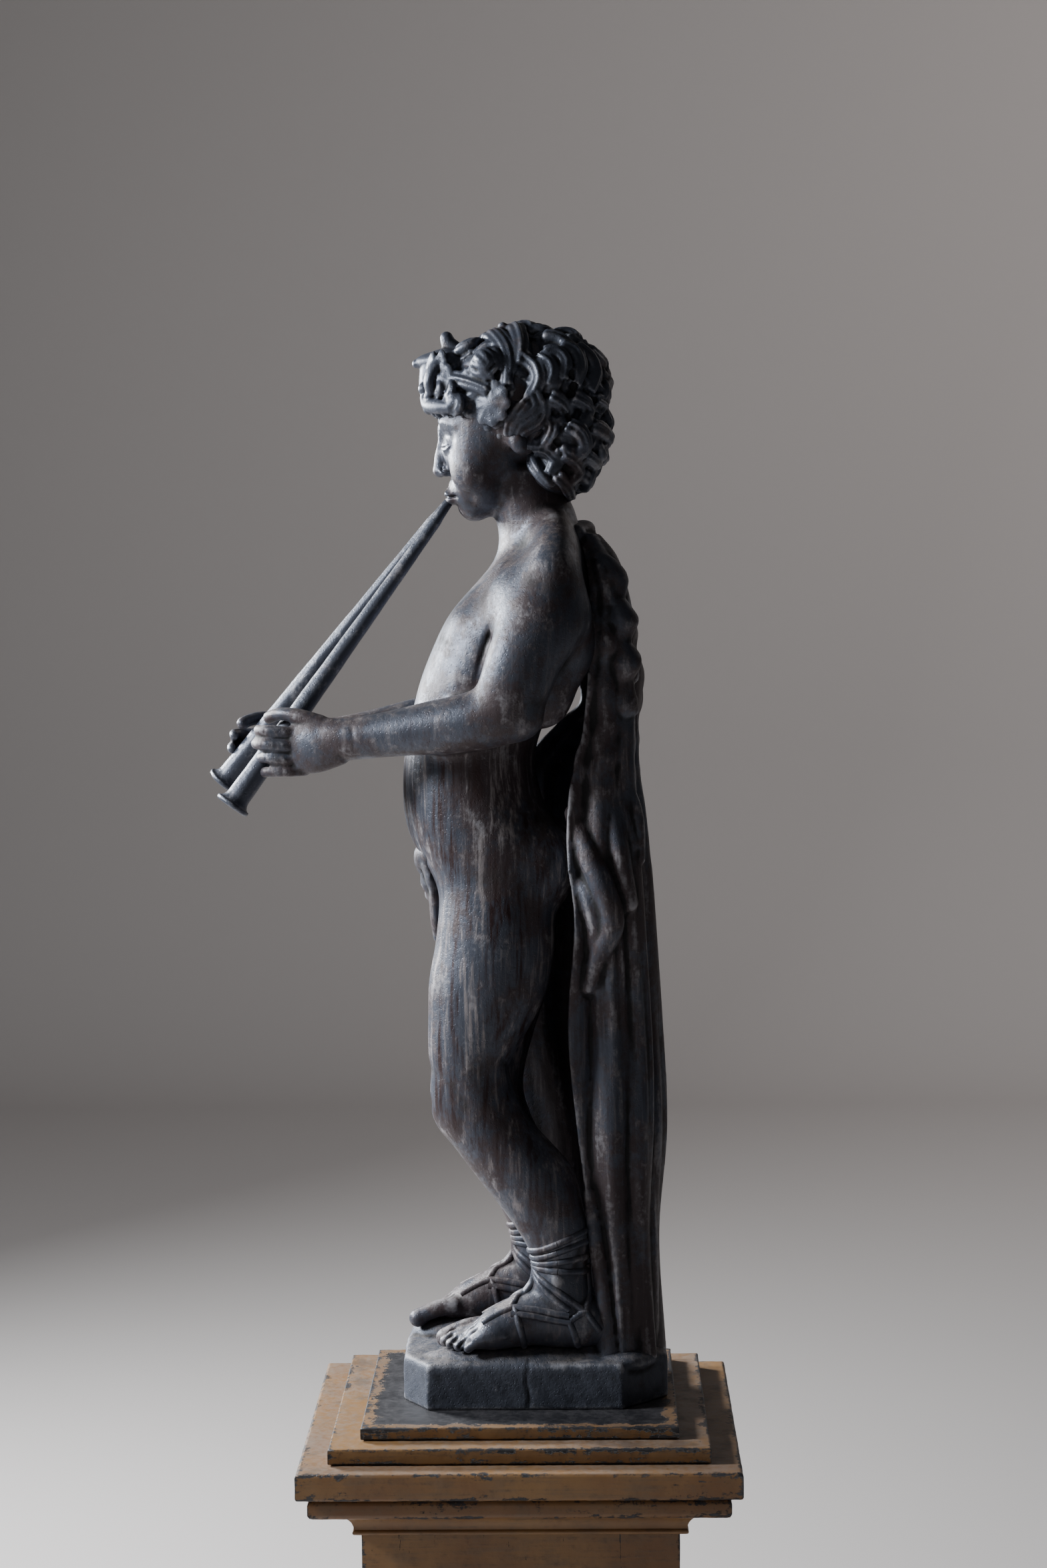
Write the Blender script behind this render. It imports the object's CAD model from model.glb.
import math

import bpy
import bmesh
import numpy as np
from mathutils import Euler, Matrix, Vector
from mathutils.bvhtree import BVHTree


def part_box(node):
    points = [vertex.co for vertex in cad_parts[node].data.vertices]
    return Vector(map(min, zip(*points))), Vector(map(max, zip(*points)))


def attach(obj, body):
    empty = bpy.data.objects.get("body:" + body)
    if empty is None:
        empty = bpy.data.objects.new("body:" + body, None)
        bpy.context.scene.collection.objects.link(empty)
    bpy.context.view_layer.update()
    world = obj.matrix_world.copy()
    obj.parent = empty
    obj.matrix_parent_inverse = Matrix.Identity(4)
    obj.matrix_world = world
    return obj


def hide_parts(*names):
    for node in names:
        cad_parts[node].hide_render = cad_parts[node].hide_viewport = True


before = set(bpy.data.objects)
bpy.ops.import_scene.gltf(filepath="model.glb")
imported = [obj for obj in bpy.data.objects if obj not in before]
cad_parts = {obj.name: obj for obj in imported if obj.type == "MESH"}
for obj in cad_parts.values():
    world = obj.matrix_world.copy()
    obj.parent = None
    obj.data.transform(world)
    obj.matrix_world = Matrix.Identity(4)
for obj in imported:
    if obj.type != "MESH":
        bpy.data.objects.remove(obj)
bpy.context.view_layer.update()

coarse = 1.0
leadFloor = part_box("figure")[0].z  # where the casting stands

# the size of the squares each form is fused at, in metres
grains = {"body": 0.0030, "skin": 0.0023, "cloak": 0.0023, "hair": 0.0014, "base": 0.0024}
# the most triangles each piece keeps
budgets = {"boy": 190000, "cloak": 185000, "hair": 195000, "base": 90000}
goldenAngle = math.pi * (3 - math.sqrt(5))


# Shader maths written as plain expressions

class Wire:
    def __init__(self, tree, socket=None):
        self.tree = tree
        self.socket = socket

    def add(self, kind, settings=None, inputs=None, out=0):
        made = self.tree.nodes.new("ShaderNode" + kind)
        for key, value in (settings or {}).items():
            setattr(made, key, value)
        for key, value in (inputs or {}).items():
            target = made.inputs[key]
            if isinstance(value, Wire):
                self.tree.links.new(value.socket, target)
            else:
                target.default_value = value
        return Wire(self.tree, made.outputs[out])

    def into(self, shader, name):
        self.tree.links.new(self.socket, shader.inputs[name])

    def sums(self, operation, first, second=0.0):
        return self.add("Math", {"operation": operation}, {0: first, 1: second})

    def __add__(self, other):
        return self.sums("ADD", self, other)

    def __radd__(self, other):
        return self.sums("ADD", other, self)

    def __sub__(self, other):
        return self.sums("SUBTRACT", self, other)

    def __rsub__(self, other):
        return self.sums("SUBTRACT", other, self)

    def __mul__(self, other):
        return self.sums("MULTIPLY", self, other)

    def __rmul__(self, other):
        return self.sums("MULTIPLY", other, self)

    def __abs__(self):
        return self.sums("ABSOLUTE", self)

    def least(self, other):
        return self.sums("MINIMUM", self, other)

    def most(self, other):
        return self.sums("MAXIMUM", self, other)

    def between(self, low, high):  # 0 at low, 1 at high, eased
        return self.add("MapRange", {"interpolation_type": "SMOOTHSTEP"},
                        {"Value": self, "From Min": low, "From Max": high})

    def mixed(self, first, second):  # self is the share of the second colour
        return self.add("Mix", {"data_type": "RGBA"}, {0: self, 6: first, 7: second}, out=2)

    def noise(self, place, scale, detail=4.0, roughness=0.55, stretch=None, shift=0.0):
        if stretch or shift:
            place = self.add("Mapping", None, {"Vector": place, "Location": (shift, shift * 0.7, shift * 1.3),
                                               "Scale": stretch or (1, 1, 1)})
        return self.add("TexNoise", {"noise_dimensions": "3D"},
                        {"Vector": place, "Scale": scale, "Detail": detail, "Roughness": roughness})


def newMaterial(name, shown):
    material = bpy.data.materials.new(name)
    material.use_nodes = True
    material.diffuse_color = (*shown, 1)
    tree = material.node_tree
    shader = tree.nodes["Principled BSDF"]
    return material, shader, Wire(tree)


leadLook = {
    "blue": (0.066, 0.074, 0.098), "brown": (0.044, 0.028, 0.029), "pale": (0.40, 0.40, 0.43),
    "dark": (0.005, 0.0045, 0.006), "dust": (0.26, 0.235, 0.225), "paleRun": (0.27, 0.24, 0.24),
    "redRun": (0.030, 0.014, 0.014), "metallic": 0.45,
}


def leadMaterial(name, brownShare=0.5, paleShare=0.5, runs=0.0, dust=0.0, rough=0.46, bump=0.5):
    # bare blue lead under brown patches, with pale oxide where it is rubbed and dirt in the hollows
    material, shader, make = newMaterial(name, (0.13, 0.13, 0.15))
    spot = make.add("TexCoord", out=3)
    upward = make.add("SeparateXYZ", None, {0: make.add("NewGeometry", out=1)}, out=2)
    rub = make.add("Attribute", {"attribute_name": "rub"}, out=2)
    wash = make.add("Attribute", {"attribute_name": "wash"}, out=2)
    cloud = make.noise(spot, 6.5, 8, 0.68)
    blotch = make.noise(spot, 30, 9, 0.70, shift=3.1)
    speck = make.noise(spot, 170, 6, 0.65, shift=1.7)
    streak = make.noise(spot, 1.0, 7, 0.66, stretch=(62, 62, 4.2))
    thread = make.noise(spot, 1.0, 6, 0.66, stretch=(190, 190, 13), shift=5.0)
    brownMask = (cloud * 0.5 + blotch * 0.38 + speck * 0.12).between(0.565 - 0.15 * brownShare,
                                                                     0.655 - 0.15 * brownShare)
    colour = (brownMask * 0.88).mixed((*leadLook["blue"], 1), (*leadLook["brown"], 1))
    run = wash * runs
    paleRun = (streak * 0.55 + thread * 0.45).between(0.515, 0.63) * run
    redRun = (streak * 0.7 + thread * 0.3).between(0.50, 0.40) * run
    colour = (paleRun * 0.75).mixed(colour, (*leadLook["paleRun"], 1))
    colour = (redRun * 0.85).mixed(colour, (*leadLook["redRun"], 1))
    scuff = (blotch * 0.45 + speck * 0.25 + streak * 0.30 + rub * 0.16).between(0.575 - 0.09 * paleShare,
                                                                               0.70 - 0.08 * paleShare)
    worn = (rub * 0.8 + blotch * 0.6 + speck * 0.2).between(0.62, 1.35)
    colour = (scuff * (0.25 + 0.35 * paleShare)).mixed(colour, (*leadLook["pale"], 1))
    colour = (worn * (0.80 * paleShare)).mixed(colour, (*leadLook["pale"], 1))
    grime = (0 - rub + (blotch - 0.5) * 0.6).between(0.05, 0.62)
    colour = (grime * 0.95).mixed(colour, (*leadLook["dark"], 1))
    if dust:
        settled = upward.between(0.45, 0.95) * (blotch * 0.6 + speck * 0.6).between(0.45, 0.72) * dust
        colour = settled.mixed(colour, (*leadLook["dust"], 1))
    colour.into(shader, "Base Color")
    gloss = rough + (blotch - 0.5) * 0.35 + (speck - 0.5) * 0.25 + grime * 0.25 + brownMask * 0.08
    gloss.most(0.24).least(0.92).into(shader, "Roughness")
    metal = (1 - brownMask * 0.55 - grime * 0.6).most(0.0) * leadLook["metallic"]
    metal.into(shader, "Metallic")
    pits = make.add("TexVoronoi", {"feature": "F1"}, {"Vector": spot, "Scale": 260.0})
    height = speck * 0.5 + blotch * 0.8 + thread * run * 0.35 + pits.between(0.0, 0.30) * 0.25 + cloud * 0.5
    bumped = make.add("Bump", None, {"Strength": bump, "Distance": 0.0018, "Height": height})
    bumped.into(shader, "Normal")
    return material


paintLook = {
    "ochre": (0.225, 0.122, 0.047), "warm": (0.155, 0.073, 0.029), "drab": (0.135, 0.090, 0.054),
    "slate": (0.010, 0.010, 0.013), "bare": (0.040, 0.038, 0.042),
    "film": (0.23, 0.18, 0.145), "grime": (0.034, 0.022, 0.017),
}


def paintMaterial(name, half, low, high, edge=0.010, bareTop=False, dusty=0.3, chips=1.0, scratches=0.0):
    # old ochre paint on a square board: chipped along its arrises, dusty where it lies flat
    material, shader, make = newMaterial(name, (0.40, 0.26, 0.12))
    spot = make.add("TexCoord", out=3)
    x, y, z = (make.add("SeparateXYZ", None, {0: spot}, out=k) for k in range(3))
    upward = make.add("SeparateXYZ", None, {0: make.add("NewGeometry", out=1)}, out=2)
    cloud = make.noise(spot, 6, 6, 0.6, shift=low * 9)
    patchy = make.noise(spot, 9, 4, 0.55, shift=low * 3 + 4)
    blotch = make.noise(spot, 30, 9, 0.66, shift=low * 7 + 2)
    speck = make.noise(spot, 120, 7, 0.70, shift=low * 5)
    brush = make.noise(spot, 1.0, 5, 0.6, stretch=(14, 14, 260), shift=1.0)
    a = half - abs(x)
    b = half - abs(y)
    c = (high - z).least(z - low)
    nearest = a.least(b)
    toEdge = nearest.most(a.most(b).least(c))  # the second nearest face is as far as the nearest arris
    drawnOut = make.noise(spot, 1.0, 9, 0.78, stretch=(34, 34, 160), shift=low * 11)
    ragged = (drawnOut * 0.60 + speck * 0.40 - 0.42).most(0.0) * 5.0
    reach = ragged * ragged * patchy.between(0.30, 0.52) * (edge * chips * 1.8)
    nearEdge = (reach - toEdge).between(-0.0005, 0.0005)
    spots = speck * 0.52 + blotch * 0.48 + (0.014 - toEdge).most(0.0) * 4.0 + patchy * 0.05
    spots = spots.between(0.700, 0.712)
    chipped = nearEdge.most(spots * min(chips, 1.0))
    if scratches:
        drag = make.noise(spot, 1.0, 5, 0.7, stretch=(150, 150, 16), shift=2.0)
        below = (z - (high - 0.075)).between(0.0, 0.07)
        chipped = chipped.most((drag + below * 0.06 * scratches + patchy * 0.06).between(0.715, 0.730))
    colour = cloud.between(0.35, 0.68).mixed((*paintLook["ochre"], 1), (*paintLook["warm"], 1))
    colour = ((blotch * 0.6 + brush * 0.4).between(0.44, 0.62) * 0.55).mixed(colour, (*paintLook["drab"], 1))
    colour = ((speck * 0.6 + brush * 0.4).between(0.50, 0.68) * 0.40).mixed(colour, (*paintLook["grime"], 1))
    if dusty:
        flat = upward.between(0.6, 0.95)
        film = flat * (cloud * 0.45 + speck * 0.55).between(0.38, 0.60) * dusty
        colour = film.mixed(colour, (*paintLook["film"], 1))
        stain = flat * (blotch * 0.6 + patchy * 0.4).between(0.50, 0.62) * dusty
        colour = (stain * 0.55).mixed(colour, (*paintLook["grime"], 1))
    rim = (reach * 1.35 + 0.0007 - toEdge).between(-0.0006, 0.0006)
    colour = (rim * 0.75).mixed(colour, (*paintLook["grime"], 1))
    if bareTop:
        ring = nearest - (blotch - 0.5) * 0.050 - (speck - 0.5) * 0.030
        inward = ring.between(0.0120, 0.0150) * upward.between(0.5, 0.8)
        chipped = chipped.most(inward)
    bare = (speck * 0.5 + blotch * 0.5).between(0.38, 0.66).mixed((*paintLook["slate"], 1),
                                                                  (*paintLook["bare"], 1))
    colour = chipped.mixed(colour, bare)
    colour.into(shader, "Base Color")
    gloss = 0.50 + (blotch - 0.5) * 0.30 + (speck - 0.5) * 0.2 + chipped * 0.06
    gloss.into(shader, "Roughness")
    height = (1 - chipped) * 1.0 + brush * 0.12 + blotch * 0.35 + speck * 0.2
    bumped = make.add("Bump", None, {"Strength": 0.8, "Distance": 0.0012, "Height": height})
    bumped.into(shader, "Normal")
    return material


# Modelling clay: closed shells laid over each other in drawn millimetres, then fused

def filled(rows, steps):
    rows = np.asarray(rows, float)
    padded = np.vstack([2 * rows[0] - rows[1], rows, 2 * rows[-1] - rows[-2]])
    out = []
    for i in range(len(rows) - 1):
        a, b, c, d = padded[i:i + 4]
        for k in range(steps):
            t = k / steps
            out.append(0.5 * (2 * b + (c - a) * t + (2 * a - 5 * b + 4 * c - d) * t ** 2
                              + (3 * b - 3 * c + d - a) * t ** 3))
    out.append(rows[-1])
    return np.array(out)


def metres(points):
    return np.asarray(points, float) / 1000 + (0, 0, leadFloor)


def drawn(points):
    return (np.asarray(points, float) - (0, 0, leadFloor)) * 1000


def ringFaces(rows, sides):
    # joins each ring of points to the next, and closes both ends
    faces = [[r * sides + s, r * sides + (s + 1) % sides,
              (r + 1) * sides + (s + 1) % sides, (r + 1) * sides + s]
             for r in range(rows - 1) for s in range(sides)]
    faces.append(list(range(sides))[::-1])
    faces.append([(rows - 1) * sides + s for s in range(sides)])
    return faces


def surfaceTree(mesh):
    return BVHTree.FromPolygons([v.co for v in mesh.vertices], [face.vertices for face in mesh.polygons])


class Clay:
    def __init__(self):
        self.points = []
        self.faces = []
        self.count = 0

    def add(self, points, faces):
        self.points.append(np.asarray(points, float))
        self.faces += [[corner + self.count for corner in face] for face in faces]
        self.count += len(points)

    def rings(self, rings):
        self.add(rings.reshape(-1, 3), ringFaces(*rings.shape[:2]))

    def stack(self, rows, steps=8, sides=48, power=2.0):  # x, y, z, half width, half depth
        rows = filled(rows, steps)
        angle = np.linspace(0, 2 * math.pi, sides, endpoint=False)
        across = np.sign(np.cos(angle)) * np.abs(np.cos(angle)) ** (2 / power)
        along = np.sign(np.sin(angle)) * np.abs(np.sin(angle)) ** (2 / power)
        rings = np.zeros((len(rows), sides, 3))
        rings[:, :, 0] = rows[:, 0:1] + rows[:, 3:4] * across
        rings[:, :, 1] = rows[:, 1:2] + rows[:, 4:5] * along
        rings[:, :, 2] = rows[:, 2:3]
        self.rings(rings)

    def swept(self, rows, across=(1, 0, 0), steps=7, sides=20, rounded=True):
        rows = filled(rows, steps)
        tangent = np.gradient(rows[:, :3], axis=0)
        tangent /= np.linalg.norm(tangent, axis=1)[:, None]
        if rounded:
            caps = np.radians([78, 58, 36, 16])
            first = [np.r_[rows[0, :3] - tangent[0] * math.sin(a) * rows[0, 3:].min(),
                           rows[0, 3:] * math.cos(a)] for a in caps]
            last = [np.r_[rows[-1, :3] + tangent[-1] * math.sin(a) * rows[-1, 3:].min(),
                          rows[-1, 3:] * math.cos(a)] for a in caps[::-1]]
            tangent = np.vstack([[tangent[0]] * 4, tangent, [tangent[-1]] * 4])
            rows = np.vstack([first, rows, last])
        side = np.asarray(across, float) - tangent * (tangent @ np.asarray(across, float))[:, None]
        side /= np.linalg.norm(side, axis=1)[:, None]
        up = np.cross(tangent, side)
        angle = np.linspace(0, 2 * math.pi, sides, endpoint=False)
        self.rings(rows[:, None, :3]
                   + side[:, None, :] * (rows[:, 3, None] * np.cos(angle))[:, :, None]
                   + up[:, None, :] * (rows[:, 4, None] * np.sin(angle))[:, :, None])

    def ball(self, centre, radii, turn=(0, 0, 0), sides=30):
        lift = np.radians(np.linspace(-86, 86, 19))
        angle = np.linspace(0, 2 * math.pi, sides, endpoint=False)
        unit = np.stack([np.cos(lift)[:, None] * np.cos(angle), np.cos(lift)[:, None] * np.sin(angle),
                         np.repeat(np.sin(lift)[:, None], sides, axis=1)], axis=2)
        spin = np.array(Euler([math.radians(t) for t in turn]).to_matrix())
        self.rings((unit * radii) @ spin.T + centre)

    def sheet(self, front, back):
        self.rings(np.concatenate([front, back[:, ::-1]], axis=1))

    def mesh(self, name):
        mesh = bpy.data.meshes.new(name)
        mesh.from_pydata(metres(np.vstack(self.points)).tolist(), [], self.faces)
        mesh.update()
        return mesh


def evaluated(holder, name):
    graph = bpy.context.evaluated_depsgraph_get()
    graph.update()
    mesh = bpy.data.meshes.new_from_object(holder.evaluated_get(graph), depsgraph=graph)
    mesh.name = name
    bpy.data.objects.remove(holder, do_unlink=True)
    return mesh


def held(mesh, name):
    holder = bpy.data.objects.new(name, mesh)
    bpy.context.scene.collection.objects.link(holder)
    return holder


def fused(meshes, grain, rounds, name):
    points = []
    faces = []
    for mesh in meshes:
        start = len(points)
        points += [v.co.copy() for v in mesh.vertices]
        faces += [[corner + start for corner in face.vertices] for face in mesh.polygons]
    whole = bpy.data.meshes.new(name)
    whole.from_pydata(points, [], faces)
    holder = held(whole, name)
    remesh = holder.modifiers.new("fuse", "REMESH")
    remesh.mode = "VOXEL"
    remesh.voxel_size = grain
    if rounds:
        soften = holder.modifiers.new("soften", "SMOOTH")
        soften.factor = 0.5
        soften.iterations = rounds
    return evaluated(holder, name)


def thinned(mesh, triangles, name):
    now = sum(len(face.vertices) - 2 for face in mesh.polygons)
    if now <= triangles:
        return mesh
    holder = held(mesh, name)
    thin = holder.modifiers.new("thin", "DECIMATE")
    thin.ratio = triangles / now
    thin.use_collapse_triangulate = True
    return evaluated(holder, name)


def coordinates(mesh):
    flat = np.empty(len(mesh.vertices) * 3, np.float32)
    mesh.vertices.foreach_get("co", flat)
    return flat.reshape(-1, 3).astype(float)


def normals(mesh):
    flat = np.empty(len(mesh.vertices) * 3, np.float32)
    mesh.vertex_normals.foreach_get("vector", flat)
    return flat.reshape(-1, 3).astype(float)


def setCoordinates(mesh, points):
    mesh.vertices.foreach_set("co", np.asarray(points, np.float32).ravel())
    mesh.update()


def averaged(mesh, values, rounds):
    ends = np.empty(len(mesh.edges) * 2, np.int32)
    mesh.edges.foreach_get("vertices", ends)
    a, b = ends[::2], ends[1::2]
    count = np.bincount(a, minlength=len(values)) + np.bincount(b, minlength=len(values))
    count = np.maximum(count, 1)
    flat = values.reshape(len(values), -1).copy()
    for _ in range(rounds):
        for c in range(flat.shape[1]):
            total = (np.bincount(a, weights=flat[b, c], minlength=len(values))
                     + np.bincount(b, weights=flat[a, c], minlength=len(values)))
            flat[:, c] = 0.5 * flat[:, c] + 0.5 * total / count
    return flat.reshape(values.shape)


def settled(mesh, rounds):
    # evens out the joins between shells, by steps in and slightly longer steps out that keep the forms
    points = coordinates(mesh)
    for _ in range(rounds):
        for share in (0.5, -0.515):
            points += 2 * share * (averaged(mesh, points, 1) - points)
    setCoordinates(mesh, points)
    return mesh


def blended(mesh, share, rounds):
    # softens the skin where share is above 0, for joins that flow into each other on a child
    points = coordinates(mesh)
    for _ in range(rounds):
        points += share[:, None] * (averaged(mesh, points, 1) - points)
    setCoordinates(mesh, points)
    return mesh


def eased(values, low, high):
    share = np.clip((values - low) / (high - low), 0, 1)
    return share * share * (3 - 2 * share)


def mark(mesh, name, values):
    layer = mesh.attributes.new(name, "FLOAT", "POINT")
    layer.data.foreach_set("value", values.astype(np.float32))


def markRub(mesh, rounds=14, depth=0.0011):
    # how far each point stands proud of its softened surroundings: above 0 rubbed, below 0 grimy
    co = coordinates(mesh)
    proud = ((co - averaged(mesh, co, rounds)) * normals(mesh)).sum(axis=1)
    proud = averaged(mesh, np.clip(proud / depth, -1.5, 1.5), 2)
    proud -= 0.9 * averaged(mesh, proud, 90)  # a round limb as a whole isn't an edge
    mark(mesh, "rub", proud)


def markWash(mesh):
    # where rain runs down the boy: the belly, flanks and thighs, and less on the arms and chest
    y, z = drawn(coordinates(mesh)).T[1:]
    wash = 0.30 + 0.70 * np.clip((745 - z) / 30, 0, 1) * np.clip((z - 150) / 200, 0, 1)
    wash = np.where((y < -135) & (z > 690), 0.25, wash)
    wash = np.where(z > 980, 0.25, wash)
    mark(mesh, "wash", wash)


def finished(name, mesh, material, rub=True):
    mesh.materials.clear()
    mesh.materials.append(material)
    mesh.shade_smooth()
    if rub:
        markRub(mesh)
    markWash(mesh)
    mesh.name = name
    piece = held(mesh, name)
    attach(piece, "root")
    print(name, "has", sum(len(face.vertices) - 2 for face in mesh.polygons), "triangles")
    return piece


def stroke(points, outward, path, width, depth, power=2.0):
    # pushes the surface out or in along a drawn line, like a modelling tool
    path = np.asarray(path, float).reshape(-1, 3)
    reach = 3.0 * width
    near = np.where(np.all((points > path.min(0) - reach) & (points < path.max(0) + reach), axis=1))[0]
    if not len(near):
        return
    best = np.full(len(near), 1e9)
    if len(path) == 1:
        best = np.linalg.norm(points[near] - path[0], axis=1)
    for a, b in zip(path[:-1], path[1:]):
        ab = b - a
        t = np.clip(((points[near] - a) @ ab) / max(ab @ ab, 1e-9), 0, 1)
        best = np.minimum(best, np.linalg.norm(points[near] - a - t[:, None] * ab, axis=1))
    points[near] += outward[near] * (depth * np.exp(-(best / width) ** power))[:, None]


# The boy

headBow = 11.0
headTurn = np.array(Euler((math.radians(headBow), 0, 0)).to_matrix())
headCentre = np.array((0.0, -2.0, 1086.0))
rightHandShift = (-3.0, -38.0, -11.0)


def onHead(points):
    return np.asarray(points, float) @ headTurn.T + headCentre


def mirrored(rows):
    rows = np.array(rows, float)
    rows[:, 0] *= -1
    return rows


def torso(clay):
    clay.stack([(0, -20, 548, 74, 50), (0, -26, 580, 96, 68), (0, -38, 630, 98, 80), (0, -50, 680, 92, 77),
                (0, -53, 716, 88, 74), (0, -42, 760, 88, 76), (0, -24, 805, 93, 82), (0, -6, 845, 97, 84),
                (0, 6, 878, 97, 80), (0, 22, 908, 90, 70), (0, 33, 936, 66, 56), (0, 34, 956, 44, 44)],
               power=2.3)
    clay.stack([(0, 34, 925, 56, 54), (0, 33, 948, 48, 51), (0, 29, 968, 44, 48), (0, 24, 990, 42, 45),
                (0, 14, 1015, 42, 43), (0, 8, 1040, 42, 42)])
    for side in (1, -1):
        clay.swept([(side * 12, 40, 976, 26, 22), (side * 56, 46, 952, 36, 28),
                    (side * 104, 42, 918, 44, 34)])
        clay.swept([(side * 48, 4, 914, 36, 32), (side * 88, 14, 896, 40, 40)])
        clay.ball((side * 94, 46, 880), (36, 44, 44))
        clay.ball((side * 92, 2, 878), (28, 34, 38))
        clay.ball((side * 40, -42, 862), (44, 36, 36), (-24, 0, 0))
        clay.ball((side * 66, 62, 858), (34, 30, 58), (10, 0, side * -14))
        clay.ball((side * 70, 34, 800), (28, 38, 54), (0, side * 6, 0))
        clay.ball((side * 46, 24, 600), (48, 49, 54))
        clay.ball((side * 62, -24, 626), (38, 52, 44))
    clay.ball((0, -58, 668), (80, 72, 86))
    clay.ball((0, -66, 742), (66, 48, 58))


def legs(clay):
    clay.stack([(44, -14, 655, 34, 40), (46, -18, 618, 46, 54), (48, -22, 575, 55, 64),
                (51, -24, 520, 57, 66), (53, -31, 475, 56, 67), (55, -38, 440, 53, 62),
                (57, -49, 402, 48, 52), (58, -54, 375, 44, 45), (59, -49, 345, 42, 48),
                (59, -41, 318, 42, 54),
                (59, -22, 294, 42, 56), (60, 3, 262, 41, 57), (61, 25, 220, 36, 46), (62, 40, 186, 29, 38),
                (62, 45, 158, 24, 31), (62, 45, 130, 25, 33), (62, 44, 96, 27, 42)])
    clay.ball((58, -62, 326), (30, 34, 36))
    clay.stack([(-44, -12, 655, 34, 40), (-46, -15, 618, 46, 54), (-48, -18, 575, 55, 64),
                (-51, -20, 520, 57, 66), (-52, -26, 460, 54, 62),
                (-52, -36, 400, 47, 53), (-51, -42, 345, 42, 46), (-51, -36, 310, 40, 46),
                (-51, -18, 270, 39, 46), (-51, 0, 230, 35, 41), (-50, 13, 190, 29, 34),
                (-50, 19, 158, 24, 29), (-50, 19, 130, 25, 31), (-50, 18, 96, 27, 40)])
    clay.ball((-51, -56, 340), (30, 30, 34))


feet = {
    "near": {"side": 1, "ankle": 44, "toes": -90, "middle": 62, "lift": 1},
    "far": {"side": -1, "ankle": 16, "toes": -124, "middle": 50, "lift": 6},
}


# each toe's place across the foot, its tip as a share of the reach and its radius, from the great toe
toeRow = ((-20, 0.985, 11.4), (-4, 0.98, 7.2), (8.5, 0.93, 6.6), (20, 0.865, 6.2), (30.5, 0.78, 5.8))


def foot(clay, side, ankle, toes, middle, lift):
    reach = toes - ankle
    sole = ((0, -0.34, 84, 20, 24), (0, -0.18, 90, 26, 32), (0, 0.05, 96, 27, 37), (1, 0.26, 92, 28, 31),
            (3, 0.46, 84, 31, 25), (5, 0.58, 79, 33, 21), (5, 0.69, 74, 31, 14))
    clay.swept([(side * (middle + x), ankle + share * reach, z + lift, a, b) for x, share, z, a, b in sole],
               sides=32)
    for x, tip, radius in toeRow:
        root = tip - 0.32
        places = ((root, 80, 1.0), (root * 0.6 + tip * 0.4, 77, 0.95), (root * 0.25 + tip * 0.75, 71, 0.92),
                  (tip - 0.02, 66, 1.02))
        clay.swept([(side * (middle + x), ankle + share * reach, z + lift, radius * fat, radius * fat * 0.92)
                    for share, z, fat in places], sides=18)


def carveFeet(points, outward):
    for side, ankle, toes, middle, lift in (each.values() for each in feet.values()):
        reach = toes - ankle
        for number, (across, tip, radius) in enumerate(toeRow):
            x = side * (middle + across)
            nail = ankle + (tip - 0.005) * reach
            stroke(points, outward, [(x, nail, 69 + lift), (x, nail + 5, 73 + lift)], 2.6, -0.7, 4.0)
            stroke(points, outward, [(x, nail + 8, 76 + lift)], 2.6, 0.6)
            if number < 4:
                nextAcross, nextRadius = toeRow[number + 1][0], toeRow[number + 1][2]
                half = side * 0.5 * (nextAcross - nextRadius + across + radius)
                gap = [(side * middle + half, ankle + share * reach, z + lift)
                       for share, z in ((tip - 0.30, 90), (tip - 0.12, 82), (tip - 0.03, 66))]
                stroke(points, outward, filled(gap, 4), 2.0, -2.6)


def arms(clay):
    left = [(92, 42, 902, 38, 42), (113, 36, 880, 38, 46), (122, 14, 838, 35, 42), (124, 0, 800, 33, 40),
            (121, -14, 773, 33, 37), (113, -48, 763, 34, 34), (103, -90, 756, 30, 31),
            (92, -135, 749, 26, 27),
            (82, -178, 743, 22, 26), (75, -205, 741, 20, 28)]
    clay.swept(left, across=(1, 0.2, 0), sides=36)
    clay.ball((124, 6, 768), (28, 30, 30))
    right = mirrored(left) + np.outer(np.linspace(0, 1, len(left)) ** 1.5, (*rightHandShift, 0, 0))
    clay.swept(right, across=(-1, 0.2, 0), sides=36)
    clay.ball((-124, 4, 766), (28, 30, 30))


fingers = (
    ((64, -232, 748, 8.6, 7.4), (69, -252, 751, 7.2, 6.2), (69, -269, 753, 6.8, 5.9),
     (63, -279, 753, 6.4, 5.7),
     (52, -284, 753, 6.2, 5.4), (44, -283, 752, 6.0, 5.2)),
    ((66, -234, 735, 8.2, 7.2), (71, -254, 737, 7.2, 6.1), (71, -272, 738, 6.8, 5.8),
     (64, -282, 738, 6.4, 5.6),
     (53, -287, 738, 6.2, 5.4), (44, -286, 737, 6.0, 5.2)),
    ((65, -234, 722, 8.0, 7.0), (69, -253, 722, 6.9, 5.9), (68, -269, 723, 6.5, 5.6),
     (60, -278, 723, 6.2, 5.4),
     (50, -282, 722, 6.0, 5.2), (42, -281, 722, 5.8, 5.0)),
    ((64, -232, 710, 7.6, 6.6), (68, -250, 708, 6.4, 5.5), (67, -264, 708, 6.1, 5.3),
     (61, -275, 707, 5.8, 5.1),
     (50, -279, 706, 5.6, 4.9), (43, -278, 706, 5.4, 4.8)),
)


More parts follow.
